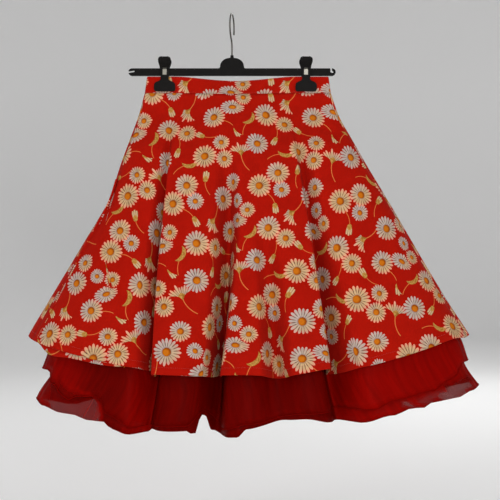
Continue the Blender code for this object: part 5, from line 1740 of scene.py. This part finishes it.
def make_zip_coil(finish):
    """The coil of the concealed zip, which lies behind its tape along the centre back seam."""
    strip = BACK_SEAM + np.array((-ZIP_HALF_STRIP, 0.0, ZIP_HALF_STRIP))
    place, down = np.meshgrid(strip, np.linspace(ZIP_START, ZIP_END, ZIP_ROWS))
    grid = skirt_points(place, down / LENGTH_BACK)
    inward = -face_normals(grid)[:, 1]
    depth = SKIRT_WALL + SEAM_GAP * 2.0 + TAPE_WALL + COIL_HEIGHT / 2.0
    places, along, out = spaced(grid[:, 1] + inward * depth, inward, ZIP_PITCH)
    tooth = short_bar(8, 6, "X", (COIL_LENGTH, COIL_WIDTH, COIL_HEIGHT))
    return copied_along("zip_coil", tooth, places, along, out, finish)


def make_button_thread(sizes, finish):
    """The two strands that hold the button, one through each pair of its holes."""
    high, low = (band_points(np.array([CENTRE_BACK]), np.array([share]))[0] for share in (0.0, 1.0))
    fall = unit(low - high)
    across = (1.0, 0.0, 0.0)
    outward = np.cross(across, fall)
    middle = (high + low) / 2.0 + outward * (SEAM_GAP + BUTTON_WALL)
    spots = np.array([middle + fall * HOLE_SPACING / 2.0 * side for side in (-1.0, 1.0)])
    strand = one_stitch(HOLE_SPACING * BUTTON_STITCH, sizes.thread * BUTTON_THREAD)
    across = np.array([across] * len(spots))
    outward = np.array([outward] * len(spots))
    return copied_along("button_thread", strand, spots, across, outward, finish)


class SKIRT_OT_fastenings(bpy.types.Operator):
    """Make the coil of the concealed zip and the thread that holds the button"""

    bl_idname = "skirt.fastenings"
    bl_label = "Zip coil and button thread"

    def execute(self, context):
        thread = finishes(context.scene.skirt_colours)["polyester_thread"]
        settle(make_zip_coil(thread), "zip")
        settle(make_button_thread(context.scene.skirt_sizes, thread), "button")
        return {"FINISHED"}


class SKIRT_OT_hanger(bpy.types.Operator):
    """Finish the hanger's bar, hook and springs, the zip and the button"""

    bl_idname = "skirt.hanger"
    bl_label = "Hanger and fastenings"

    def execute(self, context):
        finish = finishes(context.scene.skirt_colours)
        table = {
            "hanger_bar": "moulded_polystyrene",
            "hook": "plated_steel_wire",
            "clip_left_spring": "spring_steel",
            "clip_right_spring": "spring_steel",
            "zip_tape": "polyester_thread",
            "zip_slider": "lacquered_zinc",
            "zip_pull": "lacquered_zinc",
            "band_button": "polished_resin",
        }
        for name, material in table.items():
            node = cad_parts[name]
            node.data.materials.clear()
            node.data.materials.append(finish[material])
        return {"FINISHED"}


def make_cove():
    """A round studio floor, which curves up into a wall all round."""
    select_nothing()
    bpy.ops.mesh.primitive_circle_add(
        vertices=COVE_SIDES, radius=COVE_RADIUS, fill_type="NGON", location=(0.0, 0.0, COVE_FLOOR_Z)
    )
    cove = bpy.context.object
    cove.name = "pale_cove"
    with edit_mode():
        for degrees in range(0, 90, COVE_STEP_DEGREES):
            low = math.radians(degrees)
            high = math.radians(degrees + COVE_STEP_DEGREES)
            reach = COVE_RADIUS + COVE_CURVE * math.sin(low)
            wider = (COVE_RADIUS + COVE_CURVE * math.sin(high)) / reach
            rise = COVE_CURVE * (math.cos(low) - math.cos(high))
            bpy.ops.mesh.extrude_region_move(TRANSFORM_OT_translate={"value": (0.0, 0.0, rise)})
            bpy.ops.transform.resize(value=(wider, wider, 1.0), center_override=ORIGIN)
        bpy.ops.mesh.extrude_region_move(TRANSFORM_OT_translate={"value": (0.0, 0.0, COVE_WALL)})
        bpy.ops.mesh.delete(type="ONLY_FACE")
        bpy.ops.mesh.select_all(action="SELECT")
        bpy.ops.mesh.normals_make_consistent(inside=True)
    # Matt studio paint: pale, even and without gloss
    paint = new_material("matt_studio_paint", {"Roughness": 0.9, "Base Color": COVE_PAINT})[0]
    give_finish(cove, paint)


def add_to_scene(name, data, place):
    """Place a lamp or a camera in the scene."""
    holder = bpy.data.objects.new(name, data)
    bpy.context.scene.collection.objects.link(holder)
    holder.location = place
    return holder


def light_studio():
    """Even pale air and six soft round lamps that look at the skirt."""
    world = bpy.data.worlds.new("studio_air")
    bpy.context.scene.world = world
    world.use_nodes = True
    air = world.node_tree.nodes["Background"].inputs
    air["Color"].default_value = AIR_COLOUR
    air["Strength"].default_value = AIR_STRENGTH
    for row in LAMPS:
        lamp = bpy.data.lights.new(row.name, "AREA")
        lamp.shape = "DISK"
        lamp.size = row.size
        lamp.energy = row.power
        aim = Vector(LAMP_AIM) - Vector(row.place)
        add_to_scene(row.name, lamp, row.place).rotation_euler = aim.to_track_quat("-Z", "Y").to_euler()


class SKIRT_OT_stage(bpy.types.Operator):
    """Set up the pale cove, the soft studio light and the camera at the photograph's angle"""

    bl_idname = "skirt.stage"
    bl_label = "Stage"

    def execute(self, context):
        make_cove()
        light_studio()
        camera = bpy.data.cameras.new("camera")
        camera.sensor_width = CAMERA_SENSOR
        camera.lens = CAMERA_LENS
        camera.shift_x, camera.shift_y = CAMERA_SHIFT
        viewer = add_to_scene("camera", camera, CAMERA_PLACE)
        viewer.rotation_euler = (math.pi / 2.0, 0.0, 0.0)
        context.scene.camera = viewer
        context.scene.view_settings.view_transform = "Standard"
        return {"FINISHED"}


class SKIRT_PT_sidebar(bpy.types.Panel):
    """Sizes, colours and the operators that make each piece"""

    bl_label = "Circle skirt"
    bl_idname = "SKIRT_PT_sidebar"
    bl_space_type = "VIEW_3D"
    bl_region_type = "UI"
    bl_category = "Skirt"

    def draw(self, context):
        for group in (context.scene.skirt_sizes, context.scene.skirt_colours):
            box = self.layout.box()
            for name in group.__annotations__:
                box.prop(group, name)
        for operator in OPERATORS:
            self.layout.operator(operator.bl_idname)


OPERATORS = (
    SKIRT_OT_stage,
    SKIRT_OT_panels,
    SKIRT_OT_waistband,
    SKIRT_OT_petticoat,
    SKIRT_OT_clips,
    SKIRT_OT_fastenings,
    SKIRT_OT_hanger,
)
CLASSES = (SkirtSizes, SkirtColours, *OPERATORS, SKIRT_PT_sidebar)


def register():
    """Add the classes and the scene's own sizes and colours."""
    for each in CLASSES:
        bpy.utils.register_class(each)
    bpy.types.Scene.skirt_sizes = PointerProperty(type=SkirtSizes)
    bpy.types.Scene.skirt_colours = PointerProperty(type=SkirtColours)


def unregister():
    """Take the classes and the scene's own sizes and colours away."""
    del bpy.types.Scene.skirt_colours
    del bpy.types.Scene.skirt_sizes
    for each in reversed(CLASSES):
        bpy.utils.unregister_class(each)


def main():
    """Make every piece in order."""
    register()
    bpy.ops.skirt.stage()
    bpy.ops.skirt.panels()
    bpy.ops.skirt.waistband()
    bpy.ops.skirt.petticoat()
    bpy.ops.skirt.clips()
    bpy.ops.skirt.fastenings()
    bpy.ops.skirt.hanger()


if __name__ == "__main__":
    main()
